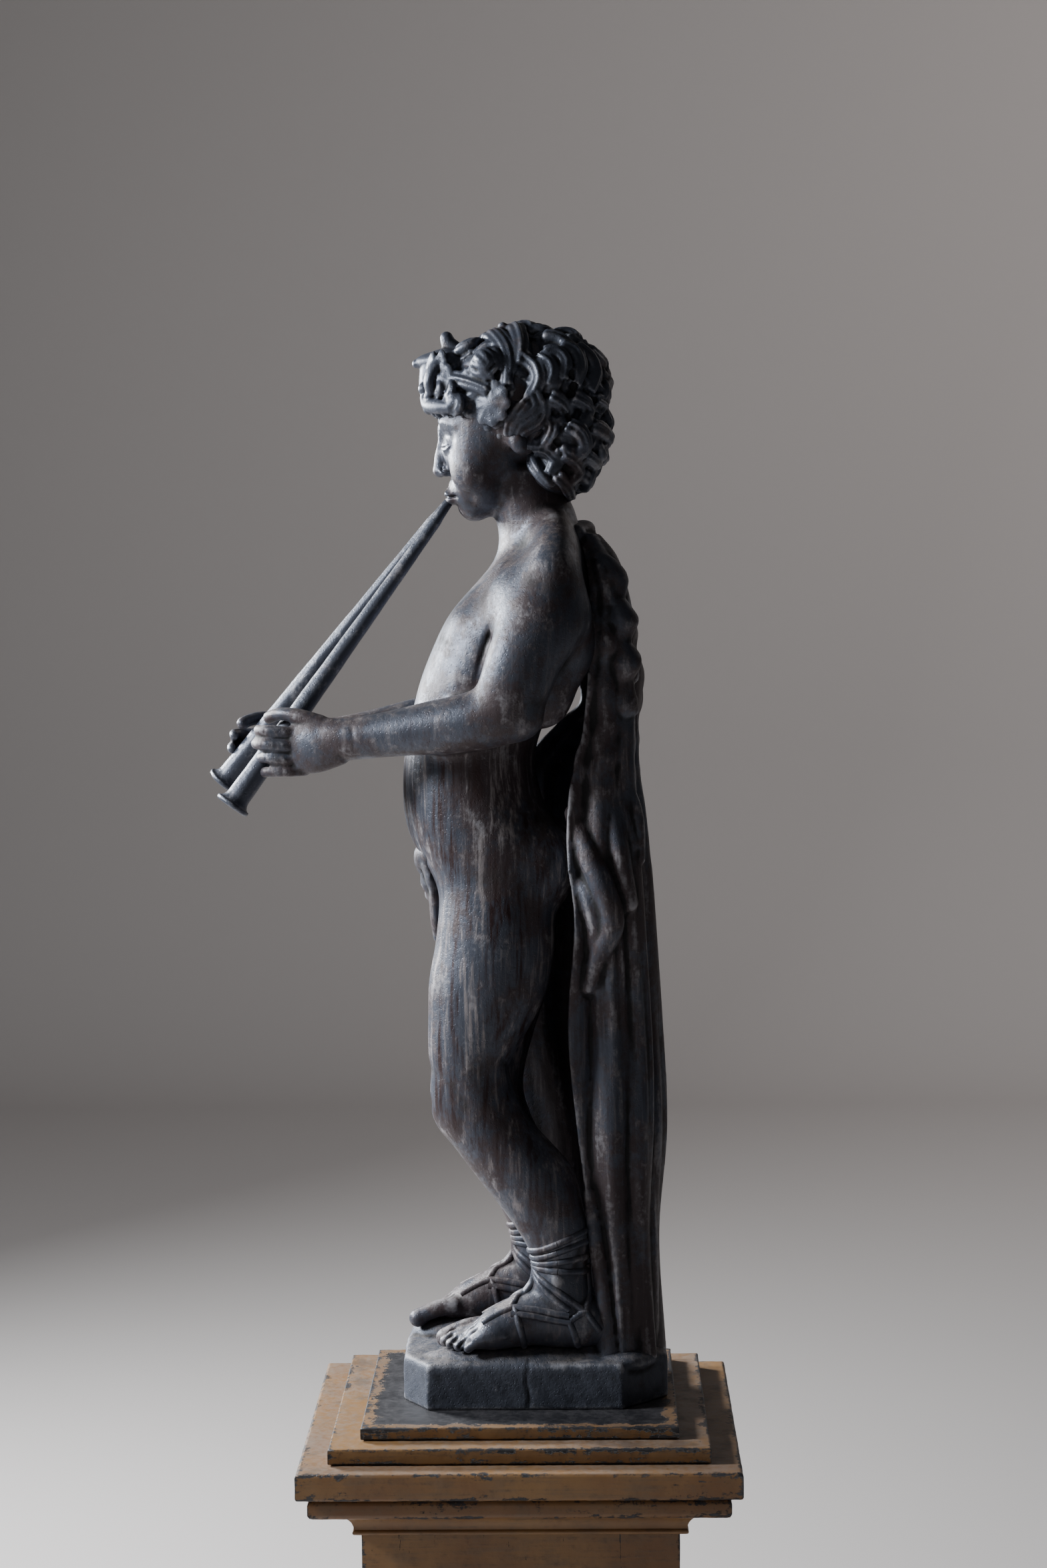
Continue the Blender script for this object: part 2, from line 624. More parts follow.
def hand(clay, side, shift):
    shift = np.array(shift, float)

    def limb(rows, across=(0, 0, 1), sides=18):
        rows = np.array([(side * x, y, z, a, b) for x, y, z, a, b in rows], float)
        rows[:, :3] += shift
        clay.swept(rows, across=across, sides=sides)

    limb([(76, -196, 741, 27, 19), (70, -220, 737, 31, 17), (66, -238, 734, 29, 12)], sides=28)
    limb([(72, -214, 760, 11, 10), (67, -236, 768, 9, 8.5), (58, -254, 771, 7.6, 7.8),
          (48, -266, 769, 7.2, 7.4),
          (40, -273, 766, 7.4, 7.0)])
    for rows in fingers:
        limb(rows)


def headBall(clay):
    # balls placed and turned in the bowed head's own frame
    def ball(centre, radii, turn=(0, 0, 0)):
        clay.ball(onHead(centre), radii, (turn[0] + headBow, turn[1], turn[2]))
    return ball


def head(clay):
    ball = headBall(clay)
    ball((0, 10, 26), (72, 88, 76))
    ball((0, -32, -10), (61, 50, 62))
    ball((0, -42, -56), (41, 34, 34))
    for side in (1, -1):
        ball((side * 33, -50, -38), (27, 26, 27))
        ball((side * 25, -64, 16), (22, 13, 12), (0, 0, side * 14))
        ball((side * 63, 4, -20), (7, 11, 16), (18, 0, side * -12))
    ball((0, -60, -60), (33, 23, 26))
    ball((0, -59, -86), (22, 18, 15))


def noseAndLips(clay):
    ball = headBall(clay)
    bridge = onHead([(0, -74, 14), (0, -78, -2), (0, -83, -18), (0, -87, -30)])
    clay.swept(np.hstack([bridge, [(8, 7), (7, 7), (7, 8), (7.5, 8)]]), sides=18)
    ball((0, -87.5, -32), (8.5, 8.5, 8))
    for side in (1, -1):
        ball((side * 8.5, -81, -35), (5.6, 8, 5.6))
        ball((side * 7, -80, -59), (12, 8.5, 4.6), (0, side * 9, side * -14))
        ball((side * 5, -79.5, -68), (12, 8.5, 5.4), (0, side * -6, side * -12))
    ball((0, -81, -64), (12, 8, 8))


def refined(mesh, low, high):
    # halves the squares inside a box so that finer strokes show there
    shape = bmesh.new()
    shape.from_mesh(mesh)
    low, high = Vector(metres([low])[0]), Vector(metres([high])[0])
    edges = [edge for edge in shape.edges
             if all(low[i] < 0.5 * (edge.verts[0].co[i] + edge.verts[1].co[i]) < high[i] for i in range(3))]
    bmesh.ops.subdivide_edges(shape, edges=edges, cuts=1, use_grid_fill=True, smooth=0.5)
    shape.to_mesh(mesh)
    shape.free()
    mesh.update()


def sculptFace(points, outward, tree):
    def front(x, z):
        origin = Vector(metres(onHead([(x, -150, z)]))[0])
        aim = Vector(headTurn @ np.array((0, 1, 0)))
        hit = tree.ray_cast(origin, aim)[0]
        return drawn([hit])[0] if hit else onHead([(x, -70, z)])[0]

    def draw(flat, width, depth, power=2.0):
        flat = filled(flat, 5) if len(flat) > 2 else np.asarray(flat, float)
        for side in (1, -1):
            stroke(points, outward, [front(side * x, z) for x, z in flat], width, depth, power)
            if np.allclose(flat[:, 0], 0):
                break

    draw([(13, 1), (26, 2), (38, -1)], 8.5, -4.2)
    draw([(8, -4), (11, 2)], 6.0, -1.8)
    draw([(21, -4), (27, -3), (33, -4.5)], 6.6, 3.6)
    draw([(12.5, -6), (18, 0.5), (26, 3.4), (34, 1.8), (40.5, -4.5)], 1.7, 1.9)
    draw([(13, 2), (20, 6.6), (28, 8.2), (37, 5.4), (42, 0)], 1.5, -1.5)
    draw([(14, -7.5), (21, -11), (29, -11.6), (36, -9.4), (40, -5.5)], 1.5, 1.2)
    draw([(15, -5.5), (21, -8.2), (29, -8.8), (36, -7.2)], 1.1, -0.9)
    draw([(15, -3), (20, 0), (27, 1.4), (34, 0), (38, -3)], 1.0, -0.8)
    draw([(26.5, -3.5), (27.5, -3.5)], 2.2, -0.7)
    draw([(9, 13), (20, 19), (33, 19), (45, 12)], 4.0, 1.1)
    draw([(14, -15), (24, -19), (34, -17)], 3.5, -0.7)
    draw([(5.0, -42.0), (6.2, -42.4)], 2.2, -2.6)
    draw([(9.5, -30), (13.6, -35), (14.2, -40), (11, -43)], 1.6, -1.7)
    draw([(0, -46), (0, -54)], 2.2, -0.9)
    draw([(4.5, -46), (5.0, -54)], 2.0, 0.5)
    draw([(0, -62.8), (7, -62.4), (14, -63.2), (20, -64)], 1.4, -2.6)
    draw([(20.5, -64), (22, -65)], 3.2, -1.6)
    draw([(0, -54.6), (6, -53.8), (13, -57), (19, -62)], 1.3, 0.7)
    draw([(0, -75), (8, -75.5), (14, -74)], 3.6, -1.5)
    draw([(24, -52), (27, -60), (26, -68)], 5.0, -0.8)
    draw([(40, -30), (38, -44)], 14.0, 1.6)


def sculptBody(points, outward):
    def line(path, width, depth, power=2.0):
        stroke(points, outward, filled(path, 5) if len(path) > 2 else path, width, depth, power)

    line([(0, -131, 700), (0, -131, 697)], 5.0, -5.0)  # navel
    line([(0, -131, 706), (5, -130, 700), (0, -131, 693), (-5, -130, 700), (0, -131, 706)], 3.4, 0.9)
    line([(0, -85, 880), (0, -112, 820), (0, -122, 770)], 6, -2.2)
    for side in (1, -1):
        line([(side * 12, -46, 932), (side * 40, -38, 940), (side * 72, -14, 936)], 6, 2.2)
        line([(side * 40, -96, 852)], 3.2, 1.8)
        line([(side * 96, -44, 800), (side * 96, -33, 845), (side * 99, -15, 884)], 3.2, -4.5)
        line([(side * 104, -28, 788), (side * 114, -40, 792), (side * 132, -38, 780)], 3.5, -2.0)
        line([(side * 30, -110, 604), (side * 58, -84, 620), (side * 84, -50, 642)], 7, -3.0)
        line([(side * 18, 66, 556), (side * 50, 72, 548), (side * 84, 52, 560)], 7, -4.5)
    line([(0, 68, 640), (0, 74, 590), (0, 62, 550)], 7, -7)
    line([(0, 76, 900), (0, 66, 820), (0, 30, 740), (0, 24, 690)], 8, -3.5)
    line([(58, -98, 352), (78, -90, 340), (58, -102, 318)], 9, 1.6)
    line([(90, -70, 364), (94, -58, 340), (90, -60, 314)], 7, -2.4)
    line([(34, -88, 372), (60, -100, 376), (84, -84, 372)], 8, -1.5)
    line([(88, -12, 384), (60, -6, 376), (30, -10, 380)], 8, -2.4)
    line([(-34, -84, 366), (-52, -92, 372), (-74, -80, 366)], 8, -1.5)
    line([(90, 40, 142)], 8.5, 4.2)
    line([(36, 40, 146)], 8.5, 3.6)
    line([(-78, 18, 140)], 8.5, 3.8)
    line([(-26, 18, 144)], 8.5, 3.4)
    line([(86, 64, 150), (84, 70, 178)], 6, -2.5)
    for y in (-178, -190):
        line([(100, y, 758), (104, y + 2, 742), (98, y + 1, 722)], 2.0, -1.0)


def buildSkin():
    body = Clay()
    torso(body)
    legs(body)
    arms(body)
    head(body)
    grain = grains["body"] * coarse
    soft = settled(fused([body.mesh("body")], grain, 4, "soft body"), round(50 / coarse ** 2))
    x, y, z = drawn(coordinates(soft)).T
    shoulders = eased(z, 838, 890) * (1 - eased(z, 962, 1000))
    hips = eased(z, 520, 570) * (1 - eased(z, 680, 800))
    back = eased(y, 0, 30) * eased(z, 640, 700) * (1 - eased(z, 930, 960)) * (1 - eased(abs(x), 92, 108))
    share = np.maximum(np.maximum(shoulders, hips), back)
    blended(soft, share, round(150 / coarse ** 2))
    knees = eased(z, 240, 290) * (1 - eased(z, 420, 470))
    elbows = eased(abs(x), 96, 108) * eased(z, 700, 720) * (1 - eased(z, 838, 880))
    blended(soft, np.maximum(knees, elbows) * 0.9, round(40 / coarse ** 2))
    temples = eased(abs(x), 26, 44) * eased(z, 1010, 1040) * (1 - eased(y, -20, 0))
    blended(soft, temples, round(60 / coarse ** 2))
    detail = Clay()
    for each in feet.values():
        foot(detail, **each)
    hand(detail, 1, (0, 0, 0))
    hand(detail, -1, rightHandShift)
    noseAndLips(detail)
    mesh = fused([soft, detail.mesh("detail")], grains["skin"] * coarse, 3, "skin")
    print("the skin is fused")
    refined(mesh, (-80, -105, 985), (80, 20, 1130))
    refined(mesh, (-50, -105, 985), (80, -30, 1125))
    refined(mesh, (30, -300, 690), (120, -180, 790))
    refined(mesh, (20, -110, 54), (110, 20, 120))
    tree = surfaceTree(mesh)
    points = drawn(coordinates(mesh))
    outward = averaged(mesh, normals(mesh), 3)
    outward /= np.linalg.norm(outward, axis=1)[:, None]
    sculptBody(points, outward)
    carveFeet(points, outward)
    sculptFace(points, outward, tree)
    setCoordinates(mesh, metres(points))
    sculptHands(mesh)
    return thinned(mesh, budgets["boy"], "boy")


def sculptHands(mesh):
    points = drawn(coordinates(mesh))
    outward = normals(mesh)
    for side, shift in ((1, (0, 0, 0)), (-1, rightHandShift)):
        shift = np.array(shift)
        for rows in fingers:
            rows = np.array(rows)[:, :3] * (side, 1, 1) + shift
            out = np.array((side * 7.5, -1, 0))
            stroke(points, outward, rows[1] + out, 2.4, 1.0)
            for place in (rows[1] * 0.55 + rows[2] * 0.45, rows[2] * 0.4 + rows[3] * 0.6):
                stroke(points, outward, [place + out + (0, 0, 6), place + out + (0, 0, -6)], 1.1, -0.8)
    setCoordinates(mesh, metres(points))


# The skin cloak

# the cloak's middle line from above at each height: z, the near edge, the rear's y and the far edge
cloakLevels = (
    (966, 14, 74, 82, -84, 62), (930, 46, 80, 106, -114, 50), (880, 58, 84, 118, -120, 54),
    (825, 62, 82, 128, -118, 60), (776, 62, 78, 131, -114, 73), (748, 66, 74, 126, -108, 46),
    (700, 72, 62, 123, -108, 6), (620, 76, 56, 130, -112, 0), (540, 74, 64, 134, -113, -2),
    (420, 64, 56, 142, -112, -6), (300, 68, 66, 146, -108, 2), (180, 64, 80, 139, -98, 26),
    (46, 62, 92, 150, -88, 70),
)
cloakFolds = {"first": 0.19, "pitch": 0.23, "depth": 8.2, "crowding": 0.28, "reach": 0.25}


def cloakSheet(clay):
    levels = filled(cloakLevels, 8)
    share = np.linspace(0, 1, 200)
    swing = math.pi * share
    spread = share + cloakFolds["crowding"] * (1 - np.exp(-share / cloakFolds["reach"]))
    inner = np.zeros((len(levels), len(share), 3))
    outer = np.zeros_like(inner)
    for i, (z, nearX, nearY, rearY, farX, farY) in enumerate(levels):
        x = nearX + (farX - nearX) * (0.5 - 0.5 * np.cos(swing)) + 10 * np.sin(2 * swing)
        y = nearY + (farY - nearY) * share + (rearY - 0.5 * (nearY + farY)) * np.sin(swing) ** 0.7
        drift = 0.020 * math.sin(z / 95) + 0.012 * math.sin(z / 41 + 1) + 0.03 * math.sin(z / 260 + 0.6)
        phase = (spread - cloakFolds["first"] + drift) / cloakFolds["pitch"]
        fold = 2 * np.abs(np.cos(math.pi * phase)) ** 0.75 - 1
        vary = 0.75 + 0.25 * np.sin(2.4 * phase + z / 170)
        small = np.cos(2 * math.pi * (phase * 2.6 + z / 500)) * (0.5 + 0.5 * np.sin(z / 70 + 9 * share))
        depth = cloakFolds["depth"] * np.clip((900 - z) / 330, 0.28, 1.0)
        tangent = np.stack([np.gradient(x), np.gradient(y)], axis=1)
        outward = np.stack([tangent[:, 1], -tangent[:, 0]], axis=1)
        outward /= np.linalg.norm(outward, axis=1)[:, None]
        crumple = 2.6 * np.sin(z / 17 + 13 * share + 2 * np.sin(z / 33)) * np.clip((z - 640) / 120, 0, 1)
        push = (fold * vary + 0.20 * small) * depth + crumple
        thick = 8.0 + 1.6 * np.sin(swing)
        for grid, reach in ((inner, push - thick), (outer, push + thick)):
            grid[i, :, 0] = x + outward[:, 0] * reach
            grid[i, :, 1] = y + outward[:, 1] * reach
            grid[i, :, 2] = z
    clay.sheet(inner, outer)


def cloakDetail(clay):
    # the pelt's paw, hanging at the near edge
    clay.swept([(72, 62, 660, 9, 9), (82, 78, 620, 14, 13), (88, 94, 580, 17, 15), (86, 104, 540, 16, 15),
                (80, 92, 505, 13, 12), (74, 80, 468, 9, 9)])
    clay.swept([(74, 66, 596, 9, 8), (84, 80, 566, 13, 11), (82, 88, 536, 12, 11), (74, 84, 508, 8, 8)])
    clay.swept([(50, 104, 716, 11, 9), (68, 106, 668, 14, 12), (78, 114, 612, 15, 12),
                (76, 124, 560, 11, 10)])
    # crumpled ridges of the gathered pelt
    ridges = (
        ((62, 88, 828), (66, 94, 780), (68, 106, 734), (66, 120, 700)),
        ((56, 102, 884), (62, 112, 842), (62, 122, 806), (56, 132, 772)),
        ((66, 92, 750), (70, 102, 706), (72, 116, 664), (68, 130, 622)),
        ((70, 84, 700), (76, 92, 656), (80, 100, 616), (78, 104, 584)),
        ((52, 94, 930), (58, 104, 900), (56, 112, 872)),
        ((72, 74, 690), (78, 78, 648), (84, 84, 606)),
        ((60, 126, 690), (62, 134, 650), (60, 138, 606)),
        ((50, 118, 858), (50, 126, 834), (46, 132, 808)),
    )
    for k, path in enumerate(ridges):
        size = 7.5 + 1.5 * math.sin(k * 2.1)
        shape = [size * 0.7] + [size] * (len(path) - 2) + [size * 0.65]
        clay.swept([(*place, s, s) for place, s in zip(path, shape)], sides=16)
    rolls = 5
    rows = []
    for k in range(4 * rolls + 1):
        t = k / (4 * rolls)
        swell = 0.5 - 0.5 * math.cos(2 * math.pi * t * rolls)
        rows.append((40 + 22 * math.sin(math.pi * t), 92 + 26 * math.sin(math.pi * t) ** 0.6 + 4 * swell,
                     938 - 226 * t, 11 + 6 * swell, 11 + 7 * swell))
    clay.swept(rows, steps=4, sides=24)
    # the strap over the right shoulder and across the chest
    clay.swept([(24, 66, 966, 13, 11), (-30, 76, 970, 15, 12), (-86, 62, 956, 17, 14),
                (-112, 28, 934, 17, 12),
                (-108, -10, 912, 17, 11), (-84, -48, 880, 17, 9), (-58, -72, 850, 15, 8),
                (-40, -84, 826, 11, 6)],
               across=(0, 1, 0), sides=22)
    for offset in (-7, 0, 7):
        clay.swept([(-112 + offset * 0.3, 28, 934 + offset, 5, 15), (-108, -10 + offset, 912, 5, 13),
                    (-84 + offset, -48, 880 + offset, 5, 11), (-58 + offset, -72, 850 + offset, 4, 10),
                    (-40, -84, 828 + offset, 3, 7)], across=(0, 1, 0), sides=14)


def cloakFoot(clay):
    # where the hem spreads on the base
    clay.swept([(68, 78, 236, 7, 7), (70, 84, 190, 9, 9), (71, 92, 130, 10, 10), (70, 96, 84, 12, 12),
                (68, 98, 62, 15, 15), (64, 98, 48, 20, 20)])
    clay.swept([(58, 116, 250, 9, 9), (63, 124, 170, 11, 11), (61, 124, 100, 14, 15), (56, 120, 66, 19, 20),
                (52, 118, 50, 25, 25)])
    clay.swept([(36, 142, 260, 8, 8), (40, 144, 160, 11, 11), (38, 142, 90, 14, 13), (34, 136, 54, 20, 18)])
    clay.ball((4, 100, 48), (74, 48, 28), sides=40)
    clay.ball((48, 84, 50), (36, 40, 20), (0, 12, 0), sides=36)


def loinSkin(clay):
    clay.swept([(60, -72, 626, 5, 4), (48, -88, 620, 7, 5), (32, -101, 613, 10, 6), (8, -109, 606, 14, 7),
                (-22, -106, 604, 13, 7), (-46, -90, 612, 8, 5)], across=(0, 0, 1))
    for x, y, z, length, lean in ((27, -100, 600, 40, 12), (9, -104, 596, 56, 16), (-12, -104, 596, 62, 18),
                                  (-30, -98, 598, 44, 12), (17, -92, 566, 44, 2), (-3, -90, 560, 46, 0)):
        clay.swept([(x, y, z, 10, 7), (x, y + lean * 0.5, z - length * 0.5, 12, 7.5),
                    (x - 2, y + lean, z - length, 7, 6)])
    for k in range(16):
        x = 34 * math.sin(k * goldenAngle)
        z = 606 - 3.2 * k
        y = -112 + 0.010 * x * x + 0.25 * (606 - z)
        clay.ball((x, y, z), (7, 4, 9), (0, 0, 40 * math.sin(k)), sides=14)


def buildCloak():
    clay = Clay()
    cloakSheet(clay)
    cloakDetail(clay)
    cloakFoot(clay)
    loinSkin(clay)
    mesh = fused([clay.mesh("cloak")], grains["cloak"] * coarse, 5, "cloak")
    points = drawn(coordinates(mesh))
    outward = normals(mesh)
    wave = (np.sin(points[:, 2] / 9 + 0.08 * points[:, 0] + 2 * np.sin(points[:, 2] / 23))
            * np.sin(points[:, 1] / 7 + points[:, 0] / 9))
    high = np.clip((points[:, 2] - 560) / 140, 0, 1) * (points[:, 1] > 40)
    points += outward * (0.9 * wave * high)[:, None]
    setCoordinates(mesh, metres(points))
    print("the cloak is fused")
    return thinned(mesh, budgets["cloak"], "cloak")


# Hair and wreath

hairCentre = np.array((0.0, 18.0, 1100.0))


def hairUnder():
    # the soft mass that the locks lie on
    clay = Clay()
    clay.ball(onHead((0, 13, 29)), (72, 88, 75), (headBow, 0, 0), sides=44)
    clay.ball((0, 38, 1128), (72, 66, 60), sides=40)
    clay.ball((0, 58, 1074), (66, 46, 46), sides=40)
    clay.ball((0, 46, 1036), (56, 36, 30), sides=40)
    grain = 0.0040  # a coarse one does, since the locks cover it
    return settled(fused([clay.mesh("under")], grain, 4, "hair under"), 12)


hairline = ((-75, -60, -40, -12, 8, 22, 40, 60), (24, 22, 6, -14, -22, -48, -78, -90))


def onHair(tree, side, y, z, lift=0.0):
    # a point drawn in side view, put on the outside of the hair
    start = Vector(metres([(side * 200, y, z)])[0])
    hit, normal = tree.ray_cast(start, Vector((-side, 0, 0)), 0.2)[:2]
    if not hit:
        hit, normal = tree.find_nearest(Vector(metres([(side * 8, y, z)])[0]))[:2]
        place = np.array((side * 8, y, z)) - np.array(normal) * 4
        return place, np.array(normal)
    normal = np.array(normal)
    return drawn([hit])[0] + normal * lift, normal


def bundle(clay, path, out, radius, count, taper=0.45):
    # strands side by side along one path
    path = filled(path, 4)
    tangent = np.gradient(path, axis=0)
    tangent /= np.linalg.norm(tangent, axis=1)[:, None]
    out = np.asarray(out, float)
    if out.ndim == 1:
        out = np.repeat(out[None], len(path), axis=0)
    else:
        out = filled(out, 4)
    side = np.cross(out, tangent)
    side /= np.linalg.norm(side, axis=1)[:, None]
    along = np.linspace(0, 1, len(path))
    for k in range(count):
        offset = (k - (count - 1) / 2) / max(count, 1)
        width = radius * (1 - taper * along ** 2)
        centre = path + side * (offset * 1.9 * width)[:, None] - out * (abs(offset) * 0.8 * width)[:, None]
        thick = width / count * 1.12 + 0.5
        rows = np.hstack([centre, thick[:, None], (thick * 1.15 + width * 0.18)[:, None]])
        clay.swept(rows[::2] if len(rows) > 9 else rows, across=tuple(side.mean(0)), steps=2, sides=9)


def curlLock(clay, start, outward, heading, size, turn, strands=3):
    # a snail lock: it leaves its root along the heading and winds inwards
    outward = outward / np.linalg.norm(outward)
    heading = heading - outward * (heading @ outward)
    heading /= np.linalg.norm(heading)
    side = np.cross(outward, heading)
    hand = 1 if turn > 0 else -1
    middle = start + side * size * hand
    path = []
    for k in range(8):
        t = k / 7
        angle = abs(turn) * t
        radius = size * (1 - 0.55 * t)
        lift = size * (0.05 + 0.42 * math.sin(math.pi * min(0.15 + t * 0.85, 1.0)))
        path.append(middle + heading * radius * math.sin(angle) - side * hand * radius * math.cos(angle)
                    + outward * lift)
    bundle(clay, path, outward, size * 0.66, strands, taper=0.40)


# locks seen in side view: path as y, z, then radius and strands
sideLocks = (
    (((-100, 1106), (-87, 1110), (-74, 1109), (-62, 1104)), 8.0, 2),
    (((-100, 1128), (-86, 1136), (-62, 1136), (-42, 1131), (-26, 1124)), 8.5, 3),
    (((-96, 1112), (-99, 1120), (-95, 1130)), 6.5, 2),
    (((-32, 1190), (-20, 1184), (-8, 1170), (-3, 1150), (-4, 1130)), 10, 4),
    (((-12, 1200), (4, 1190), (10, 1172), (8, 1152)), 9, 3),
    (((8, 1200), (18, 1196), (30, 1198), (40, 1192)), 8, 3),
    (((12, 1158), (26, 1148), (30, 1134), (22, 1120), (14, 1114)), 7.5, 3),
    (((24, 1120), (28, 1108), (20, 1098), (8, 1090), (3, 1079)), 6.5, 2),
    (((14, 1110), (6, 1100), (-2, 1090), (-4, 1078)), 6.0, 2),
    (((34, 1112), (34, 1100), (26, 1088), (12, 1080), (10, 1072)), 7.0, 3),
    (((38, 1162), (50, 1162), (58, 1152), (56, 1136)), 7.0, 3),
    (((30, 1158), (40, 1152), (44, 1142), (40, 1130)), 6.5, 3),
    (((56, 1170), (68, 1164), (74, 1148), (68, 1130)), 7.5, 3),
    (((72, 1168), (84, 1158), (90, 1142), (84, 1124)), 7.5, 3),
    (((84, 1166), (98, 1152), (103, 1134), (97, 1118)), 7.0, 3),
    (((42, 1190), (56, 1188), (68, 1184), (78, 1172)), 8.5, 3),
    (((38, 1180), (50, 1178), (60, 1172)), 7.0, 2),
    (((44, 1116), (54, 1110), (60, 1098), (52, 1088)), 7.5, 3),
    (((66, 1116), (78, 1110), (84, 1098), (76, 1086)), 7.5, 3),
    (((90, 1112), (104, 1104), (112, 1090), (106, 1076)), 7.0, 3),
    (((40, 1090), (44, 1078), (36, 1066), (26, 1066)), 7.5, 3),
    (((62, 1084), (74, 1076), (78, 1062), (68, 1052)), 7.5, 3),
    (((88, 1084), (100, 1076), (102, 1062), (92, 1056)), 7.0, 3),
    (((28, 1060), (40, 1058), (48, 1046), (42, 1034)), 7.0, 3),
    (((58, 1054), (68, 1046), (70, 1032), (60, 1024)), 7.0, 3),
    (((80, 1052), (90, 1044), (90, 1032), (80, 1026)), 6.5, 3),
    (((22, 1052), (26, 1040), (34, 1030), (42, 1022)), 6.0, 2),
    (((50, 1030), (58, 1020), (62, 1010)), 6.0, 2),
    (((74, 1032), (80, 1022), (74, 1012)), 6.0, 2),
)


lockSwell = 1.22  # how much fuller the modelled locks are than their drawn lines


def hairMass(clay, tree):
    for side in (1, -1):
        for flat, radius, strands in sideLocks:
            places = [onHair(tree, side, y, z, 4.5) for y, z in filled(flat, 2)]
            bundle(clay, [place for place, out in places], [out for place, out in places],
                   radius * lockSwell, strands, taper=0.3)
    count = 210
    for k in range(count):
        height = 1 - 1.95 * (k + 0.5) / count
        angle = k * goldenAngle + 0.4
        ring = math.sqrt(max(1 - height * height, 0.0))
        unit = np.array((ring * math.cos(angle), ring * math.sin(angle), height))
        start = Vector(metres([hairCentre + unit * 200])[0])
        hit, normal = tree.ray_cast(start, Vector(-unit), 0.2)[:2]
        if not hit:
            continue
        root = drawn([hit])[0]
        upright = (root - headCentre) @ headTurn
        if upright[2] < np.interp(upright[1], *hairline) + 4:
            continue
        laid = abs(root[0]) > 24 and root[1] > -70
        size = 11.0 + 2.4 * math.sin(k * 4.1)
        heading = np.array((0.4 * math.sin(k * 1.7), 0.5 + 0.5 * math.cos(k * 2.3), -1.0))
        if unit[2] > 0.5:
            heading = np.array((math.cos(k * 1.3), math.sin(k * 1.3), 0.0))
        turn = (3.9 + 0.9 * math.sin(k * 2.1)) * (1 if (k * 7) % 5 < 3 else -1)
        sunk = -4.5 if laid else -1.5
        size *= 0.85 if laid else 1.05
        curlLock(clay, root + np.array(normal) * sunk, np.array(normal), heading, size, turn)


# a leaf's section from its underside round the edge to its middle: share of its size, and height
leafSection = ((0.3, -4.0), (0.9, -2.6), (1.0, -0.4), (0.97, 1.0), (0.8, 1.5), (0.55, 0.8), (0.3, 1.3),
               (0.08, 1.7))


def leafShape(clay, centre, outward, tip, size, curlUp=0.15, lobes=2.5):
    outward = np.asarray(outward, float) / np.linalg.norm(outward)
    tip = np.asarray(tip, float)
    tip = tip - outward * (tip @ outward)
    tip /= np.linalg.norm(tip)
    side = np.cross(outward, tip)
    angle = np.linspace(0, 2 * math.pi, 60, endpoint=False)
    edge = 0.84 + 0.16 * np.abs(np.cos(lobes * angle)) ** 0.8
    edge = edge * np.where(np.abs(angle - math.pi) < 0.3, 0.6, 1.0)
    rings = []
    for share, rise in leafSection:
        radius = size * share * edge
        vein = 0.8 * np.maximum(0, np.cos(lobes * 2 * angle)) ** 3 * share
        bend = -curlUp * size * share ** 2
        rings.append(np.asarray(centre) + np.outer(radius * np.cos(angle), tip)
                     + np.outer(radius * np.sin(angle), side) + np.outer(rise + vein + bend, outward))
    clay.rings(np.array(rings))


def rose(clay, centre, outward, size):
    outward = outward / np.linalg.norm(outward)
    side = np.cross(outward, (0, 0, 1.0))
    side /= np.linalg.norm(side)
    up = np.cross(side, outward)
    clay.ball(centre - outward * size * 0.2, (size * 0.75, size * 0.75, size * 0.75), sides=24)
    for ring, (share, count, lift) in enumerate(((0.72, 5, 0.25), (0.42, 4, 0.55), (0.16, 2, 0.75))):
        for k in range(count):
            angle = 2 * math.pi * (k + 0.37 * ring) / count
            around = side * math.cos(angle) + up * math.sin(angle)
            across = -side * math.sin(angle) + up * math.cos(angle)
            half = size * (0.52 - 0.11 * ring)
            arc = [centre + around * size * share * math.cos(0.55 * t) + across * half * t
                   + outward * size * (lift - 0.10 * t * t) for t in (-1.2, -0.6, 0, 0.6, 1.2)]
            clay.swept([(*p, size * 0.17, size * 0.20) for p in arc], across=tuple(outward), steps=3,
                       sides=10)


